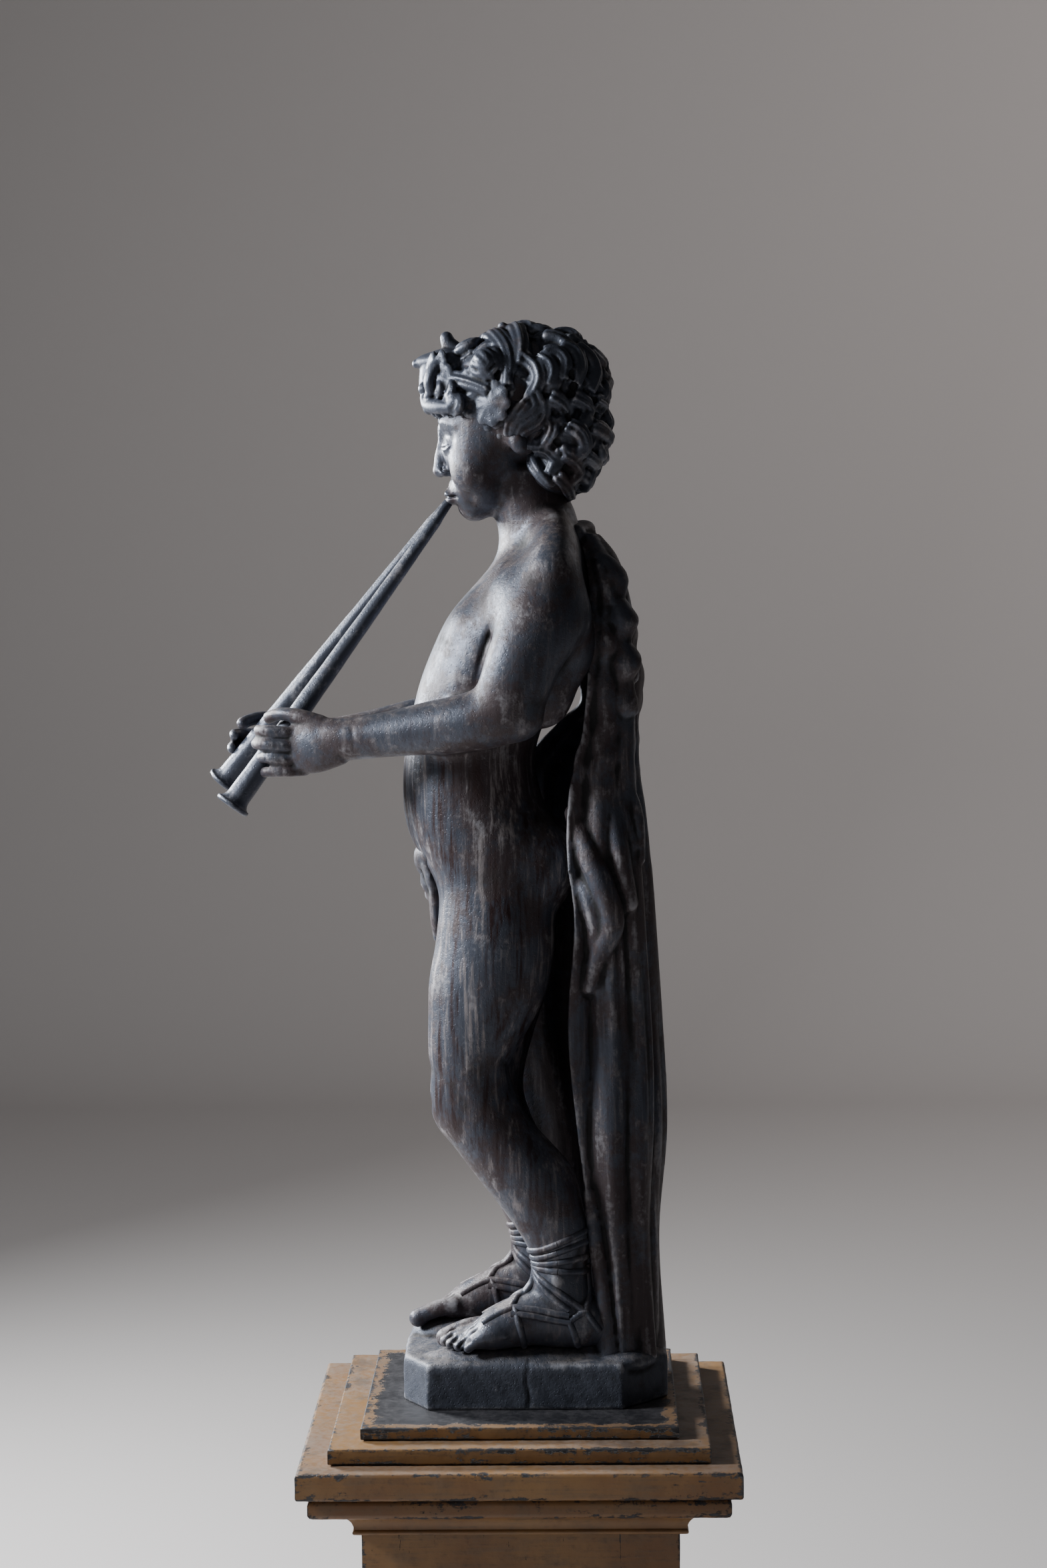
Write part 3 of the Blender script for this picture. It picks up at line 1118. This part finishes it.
def wreath(clay, tree):
    for side in (1, -1):
        place, out = onHair(tree, side, -24, 1110, 5)
        leafShape(clay, place, out + (0, -0.3, 0.1), np.array((0, 0.15, -1)), 27, 0.16, 4.5)
        place, out = onHair(tree, side, -58, 1112, 3)
        clay.ball(place, (12, 13, 12), sides=24)
        place, out = onHair(tree, side, -26, 1151, 2)
        rose(clay, place, out, 21)
        for y, z, size, tipY, tipZ in ((-62, 1162, 17, 0.1, 1.0), (-50, 1166, 13, 0.5, 0.7),
                                       (-40, 1180, 16, 0.3, 1), (-14, 1186, 15, 1, 0.4)):
            place, out = onHair(tree, side, y, z, 2)
            leafShape(clay, place, out, np.array((0, tipY, tipZ)), size, 0.1)
        for y, z, radius, lift in ((-92, 1119, 7, 3), (-80, 1140, 6, 4), (-88, 1146, 6, 3),
                                   (-27, 1083, 6.5, -2),
                                   (-14, 1074, 7.5, -3), (-22, 1072, 5, -3), (-46, 1143, 6, 3),
                                   (-68, 1144, 6, 3)):
            place, out = onHair(tree, side, y, z, lift)
            clay.ball(place, (radius, radius, radius), sides=18)
        # the fringe rolls back from the brow in two tiers
        for x, y, z, size in ((8, -79, 34, 9.5), (25, -76, 33, 9.5), (41, -69, 31, 9), (54, -57, 28, 9),
                              (15, -76, 50, 8.5), (33, -72, 49, 8.5), (48, -61, 46, 8)):
            root = onHead((side * x, y, z))
            out = headTurn @ np.array((side * x / 55, y / 75, 0.25))
            curlLock(clay, root, out, headTurn @ np.array((side * 1.0, 0.2, -0.35)), size, side * 3.6)
        clay.swept([(side * 20, -72, 1158, 13, 10), (side * 27, -85, 1149, 12, 8),
                    (side * 30, -91, 1136, 11, 7),
                    (side * 29, -90, 1124, 8, 6)], sides=24)
        for x, y, z, size, lobes in ((40, -66, 66, 19, 2.5), (31, -68, 84, 17, 2.5)):
            leafShape(clay, onHead((side * x, y, z)), headTurn @ np.array((side * x / 40, -0.75, 0.35)),
                      headTurn @ np.array((side * 0.5, -0.5, -0.8)), size, 0.2, lobes)
        for x, y, z, radius in ((13, -98, 1128, 7), (29, -92, 1119, 6)):
            clay.ball((side * x, y, z), (radius, radius, radius), sides=18)
        clay.swept([(side * 12, -97, 1118, 7, 6), (side * 26, -93, 1110, 8, 7), (side * 42, -82, 1107, 8, 7),
                    (side * 54, -68, 1106, 7, 6)], across=(0, 0, 1), sides=20)
    clay.swept([(0, -60, 1166, 12, 12), (0, -70, 1177, 9, 9), (0, -73, 1184, 7.5, 7.5)], sides=16)
    clay.swept([(0, -56, 1152, 34, 18), (0, -74, 1158, 30, 15), (0, -90, 1158, 21, 11),
                (0, -101, 1157, 12, 8),
                (0, -107, 1156, 5, 5)], sides=28)
    clay.swept([(0, -92, 1152, 17, 11), (0, -95, 1140, 17, 9), (0, -96, 1126, 13, 8), (0, -94, 1112, 8, 6)],
               sides=24)


# deep shadows between the locks, in side view
hollows = (
    (((3, 1138), (8, 1128), (8, 1116)), 5.0, -7), (((22, 1184), (28, 1172), (28, 1158)), 5.0, -7),
    (((62, 1140), (67, 1130), (64, 1120)), 4.5, -6), (((54, 1102), (62, 1092), (64, 1080)), 5.0, -6),
    (((-4, 1066), (4, 1058), (14, 1050)), 5.0, -6), (((88, 1112), (92, 1100), (88, 1090)), 4.5, -5),
    (((30, 1100), (34, 1092)), 4.0, -4), (((44, 1058), (50, 1066)), 4.5, -5),
    (((-40, 1148), (-52, 1152)), 3.0, -3),
)


def buildHair():
    under = hairUnder()
    tree = surfaceTree(under)
    clay = Clay()
    hairMass(clay, tree)
    wreath(clay, tree)
    mesh = fused([under, clay.mesh("hair")], grains["hair"] * coarse, 3, "hair")
    points = drawn(coordinates(mesh))
    outward = averaged(mesh, normals(mesh), 4)
    for side in (1, -1):
        for path, width, depth in hollows:
            stroke(points, outward, [onHair(tree, side, y, z, 3)[0] for y, z in path], width, depth)
    setCoordinates(mesh, metres(points))
    print("the hair is fused")
    return thinned(mesh, budgets["hair"], "hair")


# Sandal straps: paths laid on the skin, given their section by Geometry Nodes

def nodeGroup(name, inputs):
    tree = bpy.data.node_groups.new(name, "GeometryNodeTree")
    face = tree.interface
    face.new_socket("Geometry", in_out="INPUT", socket_type="NodeSocketGeometry")
    keys = {}
    for label, kind in inputs:
        keys[label] = face.new_socket(label, in_out="INPUT", socket_type="NodeSocket" + kind).identifier
    face.new_socket("Geometry", in_out="OUTPUT", socket_type="NodeSocketGeometry")
    return tree, keys


def linked(tree, joins):
    for first, output, second, socket in joins:
        tree.links.new(first.outputs[output], second.inputs[socket])


def throughNodes(holder, tree, keys, values, name):
    modifier = holder.modifiers.new(tree.name, "NODES")
    modifier.node_group = tree
    for label, value in values.items():
        modifier[keys[label]] = value
    return evaluated(holder, name)


def strapTree(material):
    tree, keys = nodeGroup("strap", (("Half width", "Float"), ("Sides", "Int"), ("Spacing", "Float")))
    new = tree.nodes.new
    start = new("NodeGroupInput")
    curve = new("GeometryNodeMeshToCurve")
    even = new("GeometryNodeResampleCurve")
    even.mode = "LENGTH"
    ring = new("GeometryNodeCurvePrimitiveCircle")
    solid = new("GeometryNodeCurveToMesh")
    solid.inputs["Fill Caps"].default_value = True
    real = new("GeometryNodeRealizeInstances")
    coat = new("GeometryNodeSetMaterial")
    coat.inputs["Material"].default_value = material
    end = new("NodeGroupOutput")
    linked(tree, (
        (start, "Geometry", curve, "Mesh"), (curve, "Curve", even, "Curve"),
        (start, "Spacing", even, "Length"),
        (start, "Sides", ring, "Resolution"), (start, "Half width", ring, "Radius"),
        (even, "Curve", solid, "Curve"), (ring, "Curve", solid, "Profile Curve"),
        (solid, "Mesh", real, "Geometry"), (real, "Geometry", coat, "Geometry"),
        (coat, "Geometry", end, "Geometry"),
    ))
    return tree, keys


straps = {
    "section": {"Half width": 0.0043, "Sides": 10, "Spacing": 0.0020},
    # paths in side view as y and z from the ankle's middle line, drawn for the near foot
    "laid": (
        ((-54, 112), (-40, 111), (-22, 109), (-4, 105), (10, 103)),
        ((-54, 106), (-30, 103), (-8, 98), (12, 95)),
        ((-50, 112), (-46, 98), (-42, 82), (-40, 66)), ((-52, 112), (-62, 108), (-74, 102), (-86, 95)),
        ((-30, 148), (-16, 139), (2, 127), (16, 116), (28, 107)),
        ((-30, 146), (-20, 134), (-6, 121), (10, 109)),
        ((-42, 128), (-36, 138), (-30, 148)), ((-54, 112), (-48, 120), (-42, 128)),
        ((46, 152), (42, 136), (34, 121), (28, 108)), ((28, 108), (36, 96), (44, 84)),
        ((10, 96), (16, 82), (20, 66)),
        ((28, 107), (20, 103), (12, 98)),
    ),
    "rings": ((182, 12), (172, 10), (160, 4), (150, -2)),
}


def layStraps(material, skin):
    tree = surfaceTree(skin)
    points = []
    edges = []

    def lay(path):
        start = len(points)
        points.extend(path)
        edges.extend((start + k, start + k + 1) for k in range(len(path) - 1))

    for each in feet.values():
        side, ankle, middle, lift = each["side"], each["ankle"], each["middle"], each["lift"]
        for flat in straps["laid"]:
            for face in (1, -1):
                path = []
                # a ray from beside the foot finds the skin, or else its nearest point does
                for dy, z in filled(flat, 5):
                    start = Vector(metres([(side * (middle + face * 60), ankle + dy, z + lift - 2)])[0])
                    hit, normal = tree.ray_cast(start, Vector((-face * side, 0, 0)), 0.056)[:2]
                    if not hit:
                        start = Vector(metres([(side * (middle + face * 6), ankle + dy, z + lift + 2)])[0])
                        hit, normal = tree.find_nearest(start)[:2]
                    path.append(np.array(hit - normal * 0.0008))
                path = np.array(path)
                for _ in range(3):
                    path[1:-1] = 0.5 * path[1:-1] + 0.25 * (path[:-2] + path[2:])
                lay([tuple(place) for place in path])
        for level, tilt in straps["rings"]:
            path = []
            for k in range(33):
                turn = 2 * math.pi * k / 32
                aim = Vector((math.cos(turn), math.sin(turn), 0))
                middlePlace = metres([(side * middle, ankle - 2, level + lift + tilt * math.sin(turn))])[0]
                hit, normal = tree.ray_cast(Vector(middlePlace) + aim * 0.06, -aim, 0.07)[:2]
                if hit:
                    path.append(hit - aim * 0.0012)
            lay(path)
    lines = bpy.data.meshes.new("strap lines")
    lines.from_pydata(points, edges, [])
    holder = held(lines, "strapLines")
    group, keys = strapTree(material)
    mesh = throughNodes(holder, group, keys, straps["section"], "straps")
    shape = bmesh.new()
    shape.from_mesh(mesh)
    bmesh.ops.recalc_face_normals(shape, faces=shape.faces)
    shape.to_mesh(mesh)
    shape.free()
    return mesh


# The low lead base

leadBase = {"length": 296, "width": 202, "height": 52, "cant": 46, "backset": 16}


def buildBase():
    def outline(height, inset):
        half = leadBase["width"] / 2 - inset
        front = leadBase["backset"] - leadBase["length"] / 2 + inset
        rear = leadBase["backset"] + leadBase["length"] / 2 - inset
        cant = leadBase["cant"]
        return [(half, front + cant * 0.62, height), (half, rear - cant * 1.1, height),
                (half - cant * 1.2, rear, height), (-half + cant * 1.1, rear, height),
                (-half, rear - cant, height),
                (-half, front + cant * 0.7, height), (-half + cant, front, height),
                (half - cant * 1.05, front, height)]

    clay = Clay()
    full = leadBase["height"]
    levels = ((0, 0), (full * 0.88, 0.3), (full * 0.97, 2.6), (full * 1.02, 22), (full * 1.10, 55))
    clay.rings(np.array([outline(height, inset) for height, inset in levels], float))
    clay.ball((60, -8, 50), (37, 100, 13), sides=40)
    clay.ball((-46, -34, 54), (42, 94, 20), sides=40)
    clay.ball((14, 30, 46), (80, 118, 13), sides=40)
    clay.ball((22, 112, 47), (74, 46, 19), sides=40)
    mesh = settled(fused([clay.mesh("base")], grains["base"] * coarse, 2, "base"), 10)
    points = drawn(coordinates(mesh))
    outward = normals(mesh)
    seam = np.exp(-((points[:, 1] - 8 - 1.5 * np.sin(points[:, 2] / 7)) / 1.6) ** 2) * (points[:, 0] > 94)
    x, y, z = points.T.copy()
    lumps = np.sin(x / 13 + 1.3 * np.sin(y / 19)) * np.sin(y / 16 + 0.7)
    lumps += 0.6 * np.sin(x / 5.1 + y / 6.3) * np.sin(z / 5.7 + y / 8)
    inside = np.clip(z / 4, 0, 1)
    points += outward * ((-1.2 * seam + 0.45 * lumps) * inside)[:, None]
    points[points[:, 2] < 1.6, 2] = 0
    setCoordinates(mesh, metres(points))
    return thinned(mesh, budgets["base"], "base")


# The pipes, turned from a profile

pipeLook = {"mouth": 4.6, "body": 13.5, "rim": 19.4, "rimLength": 16, "sides": 64}
pipeEnds = {
    "left_pipe": ((7.2, -71.5, 1003), (50, -316, 667)),
    "right_pipe": ((-7.2, -73.5, 1003), (-50, -335, 686)),
}


def buildPipe(name):
    mouth, bell = (Vector(metres([end])[0]) for end in pipeEnds[name])
    length = (bell - mouth).length * 1000
    thin, body, rim = pipeLook["mouth"], pipeLook["body"], pipeLook["rim"]
    neck = length - pipeLook["rimLength"]
    stem = thin * 1.46  # the collar below the mouthpiece, where the cone begins
    start = 38
    steps = 40
    outline = [(0.0, thin * 0.4), (0.2, thin * 0.8), (1.2, thin), (20, thin * 1.22), (26, thin * 1.40),
               (32, stem), (start, stem)]
    outline += [(start + (neck - start) * k / steps, stem + (body - stem) * (k / steps) ** 1.05)
                for k in range(1, steps + 1)]
    for k in range(1, 10):
        turn = math.radians(10 * k)
        outline.append((neck + (length - neck - 6.0) * math.sin(turn), rim - (rim - body) * math.cos(turn)))
    outline += [(length - back, rim + r) for back, r in ((5.0, 0.4), (3.4, 0.5), (1.8, -0.1), (0.8, -1.6),
                                                         (0.5, -3.4), (1.4, -5.2), (4, -6.8))]
    outline += [(length - 12, body - 4.0), (length - 24, body - 5.2), (length - 40, 2.0), (length - 41, 0.4)]
    sides = pipeLook["sides"]
    angle = np.linspace(0, 2 * math.pi, sides, endpoint=False)
    rings = np.array([[(r * math.cos(a), r * math.sin(a), z) for a in angle] for z, r in outline]) / 1000
    along = rings[:, :, 2]
    wobble = 1 + 0.012 * np.sin(along * 90) * np.sin(3 * angle)[None] + 0.008 * np.sin(along * 260 + 1)
    rings[:, :, :2] *= wobble[:, :, None]
    mesh = bpy.data.meshes.new(name)
    mesh.from_pydata(rings.reshape(-1, 3).tolist(), [], ringFaces(len(outline), sides))
    turn = (bell - mouth).to_track_quat("Z", "Y").to_matrix().to_4x4()
    turn.translation = mouth
    mesh.transform(turn)
    return mesh


# The pedestal's boards: profiles run round a square, then worn by Geometry Nodes

def board(profile, spacing):
    # profile is half width and height, from the underside's middle round to the top's, or round a wall
    profile = np.asarray(profile, float)
    widest = profile[:, 0].max()
    count = max(8, int(2 * widest / spacing))
    run = np.linspace(-1, 1, count, endpoint=False)
    square = np.concatenate([np.stack([np.ones(count), run], 1), np.stack([-run, np.ones(count)], 1),
                             np.stack([-np.ones(count), -run], 1), np.stack([run, -np.ones(count)], 1)])
    points = []
    for half, z in profile:
        points += [(x * half, y * half, z) for x, y in square]
    mesh = bpy.data.meshes.new("board")
    mesh.from_pydata(points, [], ringFaces(len(profile), len(square)))
    return mesh


def wearTree():
    tree, keys = nodeGroup("worn board", (("Depth", "Float"), ("Grain", "Float"), ("Seed", "Float"),
                                          ("Coat", "Material")))
    new = tree.nodes.new
    start = new("NodeGroupInput")
    noise = new("ShaderNodeTexNoise")
    noise.noise_dimensions = "4D"
    noise.inputs["Detail"].default_value = 4
    place = new("GeometryNodeInputPosition")
    normal = new("GeometryNodeInputNormal")
    push = new("ShaderNodeMath")
    push.operation = "SUBTRACT"
    push.inputs[1].default_value = 0.77  # near the noise's highest, so that the wear goes inwards
    deep = new("ShaderNodeMath")
    deep.operation = "MULTIPLY"
    offset = new("ShaderNodeVectorMath")
    offset.operation = "SCALE"
    move = new("GeometryNodeSetPosition")
    real = new("GeometryNodeRealizeInstances")
    coat = new("GeometryNodeSetMaterial")
    end = new("NodeGroupOutput")
    linked(tree, (
        (place, 0, noise, "Vector"), (start, "Grain", noise, "Scale"), (start, "Seed", noise, "W"),
        (noise, 0, push, 0), (push, 0, deep, 0), (start, "Depth", deep, 1), (normal, 0, offset, 0),
        (deep, 0, offset, "Scale"), (start, "Geometry", move, "Geometry"), (offset, 0, move, "Offset"),
        (move, "Geometry", real, "Geometry"), (real, "Geometry", coat, "Geometry"),
        (start, "Coat", coat, "Material"), (coat, "Geometry", end, "Geometry"),
    ))
    return tree, keys


def stepped(rows, spacing):
    # more points along each straight of a profile
    out = []
    for (h0, z0), (h1, z1) in zip(rows[:-1], rows[1:]):
        count = max(1, int(math.hypot(h1 - h0, z1 - z0) / spacing))
        out += [(h0 + (h1 - h0) * k / count, z0 + (z1 - z0) * k / count) for k in range(count)]
    return out + [rows[-1]]


def roundedBoard(half, low, high, radius):
    rows = [(middleHole, low), (half - radius, low)]
    turns = [math.radians(t) for t in (15, 45, 75)]
    rows += [(half - radius * (1 - math.sin(t)), low + radius * (1 - math.cos(t))) for t in turns]
    rows += [(half, low + radius), (half, high - radius)]
    rows += [(half - radius * (1 - math.cos(t)), high - radius * (1 - math.sin(t))) for t in turns]
    rows += [(half - radius, high), (middleHole, high)]
    return rows


pedestal = {
    "top_slab": {"edge": 0.0085, "radius": 0.0022, "bareTop": True, "dusty": 0.3, "chips": 1.1},
    "middle_slab": {"edge": 0.0075, "radius": 0.0025, "bareTop": False, "dusty": 0.75, "chips": 1.0},
    "cornice_slab": {"edge": 0.0065, "radius": 0.0045, "bareTop": False, "dusty": 0.6, "chips": 1.0},
    "bed_moulding": {"edge": 0.006, "radius": 0.0075, "bareTop": False, "dusty": 0.0, "chips": 1.2},
    "plinth_block": {"edge": 0.010, "radius": 0.0022, "bareTop": False, "dusty": 0.3, "chips": 1.0},
}
spacing = 0.0056 * coarse  # between the points of a board
middleHole = 0.004  # a board's profile stops this far from its middle, and one flat face closes it


def pedestalPieces():
    tree, keys = wearTree()
    for number, (node, look) in enumerate(pedestal.items()):
        low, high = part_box(node)
        rows = stepped(roundedBoard(high.x, low.z, high.z, look["radius"]), spacing * 1.6)
        coat = paintMaterial(node + "Paint", high.x, low.z, high.z, look["edge"], look["bareTop"],
                             look["dusty"], look["chips"])
        wornPiece(node, rows, coat, tree, keys, number)
    cove = mouldingRows("neck_moulding", "cove")
    foot = mouldingRows("base_moulding", "foot")
    for number, (node, rows) in enumerate((("neck_moulding", cove), ("base_moulding", foot))):
        low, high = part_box(node)
        coat = paintMaterial(node + "Paint", high.x, low.z, high.z, 0.004, False, 0.2, 0.8)
        wornPiece(node, stepped(rows, spacing), coat, tree, keys, number + 7)
    low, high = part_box("shaft")
    wall = 0.019
    rows = stepped([(high.x, low.z), (high.x, high.z)], spacing * 2)
    inside = stepped([(high.x - wall, high.z), (high.x - wall, low.z)], spacing * 8)
    hidden = 0.02  # the shaft's ends are under the mouldings, so they don't chip
    coat = paintMaterial("shaftPaint", high.x, low.z - hidden, high.z + hidden, 0.007, False, 0.0, 0.9,
                         scratches=1.0)
    wornPiece("shaft", rows + inside, coat, tree, keys, 11, tube=True)


def mouldingRows(node, kind):
    low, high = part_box(node)
    tall = high.z - low.z
    if kind == "cove":
        fillet = high.x - 0.025
        bead = 0.0032  # the small round at its foot
        rows = [(middleHole, low.z), (fillet - 0.0025, low.z)]
        for t in range(-70, 71, 20):
            turn = math.radians(t)
            rows.append((fillet - bead + bead * math.cos(turn), low.z + bead + bead * math.sin(turn)))
        for t in range(0, 91, 6):
            turn = math.radians(t)
            rows.append((high.x - 0.0003 - (high.x - fillet + 0.0012) * math.cos(turn),
                         low.z + 2 * bead + (tall - 0.0094) * math.sin(turn)))
        rows += [(high.x, high.z - 0.0026), (high.x, high.z), (middleHole, high.z)]
    else:
        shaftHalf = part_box("shaft")[1].x
        rows = [(middleHole, low.z), (high.x - 0.001, low.z), (high.x, low.z + 0.001),
                (high.x, low.z + tall * 0.30)]
        for t in range(0, 91, 10):
            turn = math.radians(t)
            rows.append((shaftHalf + 0.0033 + (high.x - shaftHalf - 0.0003) * (1 - math.sin(turn)) * 0.8,
                         low.z + tall * (0.35 + 0.65 * (1 - math.cos(turn)))))
        rows += [(middleHole, high.z)]
    return rows


def wornPiece(node, rows, coat, tree, keys, number, tube=False):
    mesh = board(rows, spacing)
    if tube:
        shape = bmesh.new()
        shape.from_mesh(mesh)
        bmesh.ops.delete(shape, geom=[f for f in shape.faces if len(f.verts) > 4], context="FACES_ONLY")
        shape.verts.ensure_lookup_table()
        sides = len(shape.verts) // len(rows)
        last = (len(rows) - 1) * sides
        for s in range(sides):
            shape.faces.new([shape.verts[last + s], shape.verts[last + (s + 1) % sides],
                             shape.verts[(s + 1) % sides], shape.verts[s]])
        bmesh.ops.recalc_face_normals(shape, faces=shape.faces)
        shape.to_mesh(mesh)
        shape.free()
    holder = held(mesh, node + "Shape")
    values = {"Depth": 0.0016, "Grain": 85.0, "Seed": 1.7 * number, "Coat": coat}
    worn = throughNodes(holder, tree, keys, values, node + "Worn")
    worn.set_sharp_from_angle(angle=math.radians(50))
    piece = finished(node + "Worn", worn, coat, rub=False)
    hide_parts(node)


# Building it all

print("materials")
skinLead = leadMaterial("skinLead", brownShare=0.74, paleShare=0.48, runs=1.15, dust=0.35, rough=0.43)
cloakLead = leadMaterial("cloakLead", brownShare=0.85, paleShare=0.34, runs=0.5, dust=0.15, rough=0.50)
hairLead = leadMaterial("hairLead", brownShare=0.42, paleShare=0.35, rough=0.44)
baseLead = leadMaterial("baseLead", brownShare=0.35, paleShare=0.40, dust=0.55, rough=0.60, bump=0.8)
pipeLead = leadMaterial("pipeLead", brownShare=0.28, paleShare=0.95, rough=0.42)

skinMesh = buildSkin()
strapMesh = layStraps(skinLead, skinMesh)
boy = finished("boySkin", skinMesh, skinLead)
cloak = finished("skinCloak", buildCloak(), cloakLead)
hair = finished("hairAndWreath", buildHair(), hairLead)
base = finished("leadBase", buildBase(), baseLead)
sandals = finished("sandalStraps", strapMesh, skinLead)
for piece in (boy, cloak, hair, base, sandals):
    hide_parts("figure")
for node in ("left_pipe", "right_pipe"):
    pipe = finished(node + "Turned", buildPipe(node), pipeLead, rub=False)
    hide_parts(node)
print("the casting is built")
pedestalPieces()
print("the pedestal is built")


# Studio: grey floor and wall, soft lights from the side that the boy faces

def stagePiece(name, points, faces, colour):
    mesh = bpy.data.meshes.new(name)
    mesh.from_pydata(points, [], faces)
    material, shader = newMaterial(name + "Paint", colour)[:2]
    shader.inputs["Base Color"].default_value = (*colour, 1)
    shader.inputs["Roughness"].default_value = 0.9
    mesh.materials.append(material)
    mesh.shade_smooth()
    held(mesh, name)


# the floor's front and back edges, the curve up to the wall, and a hair's drop below the part
sweep = {"front": 6.0, "back": -5.4, "radius": 0.9, "top": 7.0, "halfWidth": 7.0, "drop": 0.0005,
         "colour": (0.47, 0.445, 0.435)}


def cyclorama():
    front, back, radius, top, halfWidth = (sweep[key] for key in ("front", "back", "radius", "top",
                                                                  "halfWidth"))
    outline = [(front, 0.0), (back, 0.0)]
    for t in range(10, 91, 10):
        turn = math.radians(t)
        outline.append((back - radius * math.sin(turn), radius - radius * math.cos(turn)))
    outline.append((back - radius, top))
    points = [(x, y, z - sweep["drop"]) for x, z in outline for y in (-halfWidth, halfWidth)]
    faces = [(2 * k, 2 * k + 2, 2 * k + 3, 2 * k + 1) for k in range(len(outline) - 1)]
    stagePiece("studioSweep", points, faces, sweep["colour"])


studio = {
    "key": {"place": (0.55, -2.9, 2.45), "aim": (0, 0, 1.3), "size": 0.7, "power": 200,
            "colour": (0.93, 0.965, 1.0)},
    "rim": {"place": (-1.5, -2.1, 2.0), "aim": (0, 0, 1.3), "size": 0.7, "power": 230,
            "colour": (0.95, 0.98, 1.0)},
    "fill": {"place": (3.2, -1.2, 2.6), "aim": (0, 0, 1.1), "size": 1.6, "power": 6,
             "colour": (1.0, 0.96, 0.94)},
    "wall": {"place": (-3.4, 3.4, 3.6), "aim": (-6.3, 0.8, 1.2), "size": 1.8, "power": 60,
             "colour": (1.0, 0.93, 0.90)},
}


def lightStudio():
    for name, look in studio.items():
        data = bpy.data.lights.new(name, "AREA")
        data.shape = "SQUARE"
        data.size = look["size"]
        data.energy = look["power"]
        data.color = look["colour"]
        lamp = bpy.data.objects.new(name, data)
        bpy.context.scene.collection.objects.link(lamp)
        lamp.location = look["place"]
        aim = Vector(look["aim"]) - Vector(look["place"])
        lamp.rotation_euler = aim.to_track_quat("-Z", "Y").to_euler()
    world = bpy.data.worlds.new("studio")
    bpy.context.scene.world = world
    world.use_nodes = True
    background = world.node_tree.nodes["Background"]
    background.inputs["Color"].default_value = (0.80, 0.80, 0.82, 1)
    background.inputs["Strength"].default_value = 0.05


cameraLook = {"place": (3.7232, 0.0714, 1.6108), "yaw": -0.0171, "pitch": -0.0787, "roll": -0.0093,
              "focal": 4989.9, "tall": 2349}


def placeCamera():
    yaw, pitch, roll = cameraLook["yaw"], cameraLook["pitch"], cameraLook["roll"]
    forward = Vector((-math.cos(yaw) * math.cos(pitch), math.sin(yaw) * math.cos(pitch), math.sin(pitch)))
    right = forward.cross(Vector((0, 0, 1))).normalized()
    up = right.cross(forward)
    rolledRight = math.cos(roll) * right + math.sin(roll) * up
    rolledUp = -math.sin(roll) * right + math.cos(roll) * up
    data = bpy.data.cameras.new("camera")
    data.sensor_fit = "VERTICAL"
    data.sensor_height = 36
    data.lens = 36 * cameraLook["focal"] / cameraLook["tall"]
    camera = bpy.data.objects.new("camera", data)
    bpy.context.scene.collection.objects.link(camera)
    turn = Matrix((rolledRight, rolledUp, -forward)).transposed().to_4x4()
    turn.translation = Vector(cameraLook["place"])
    camera.matrix_world = turn
    bpy.context.scene.camera = camera


cyclorama()
lightStudio()
placeCamera()
print("the studio is lit")
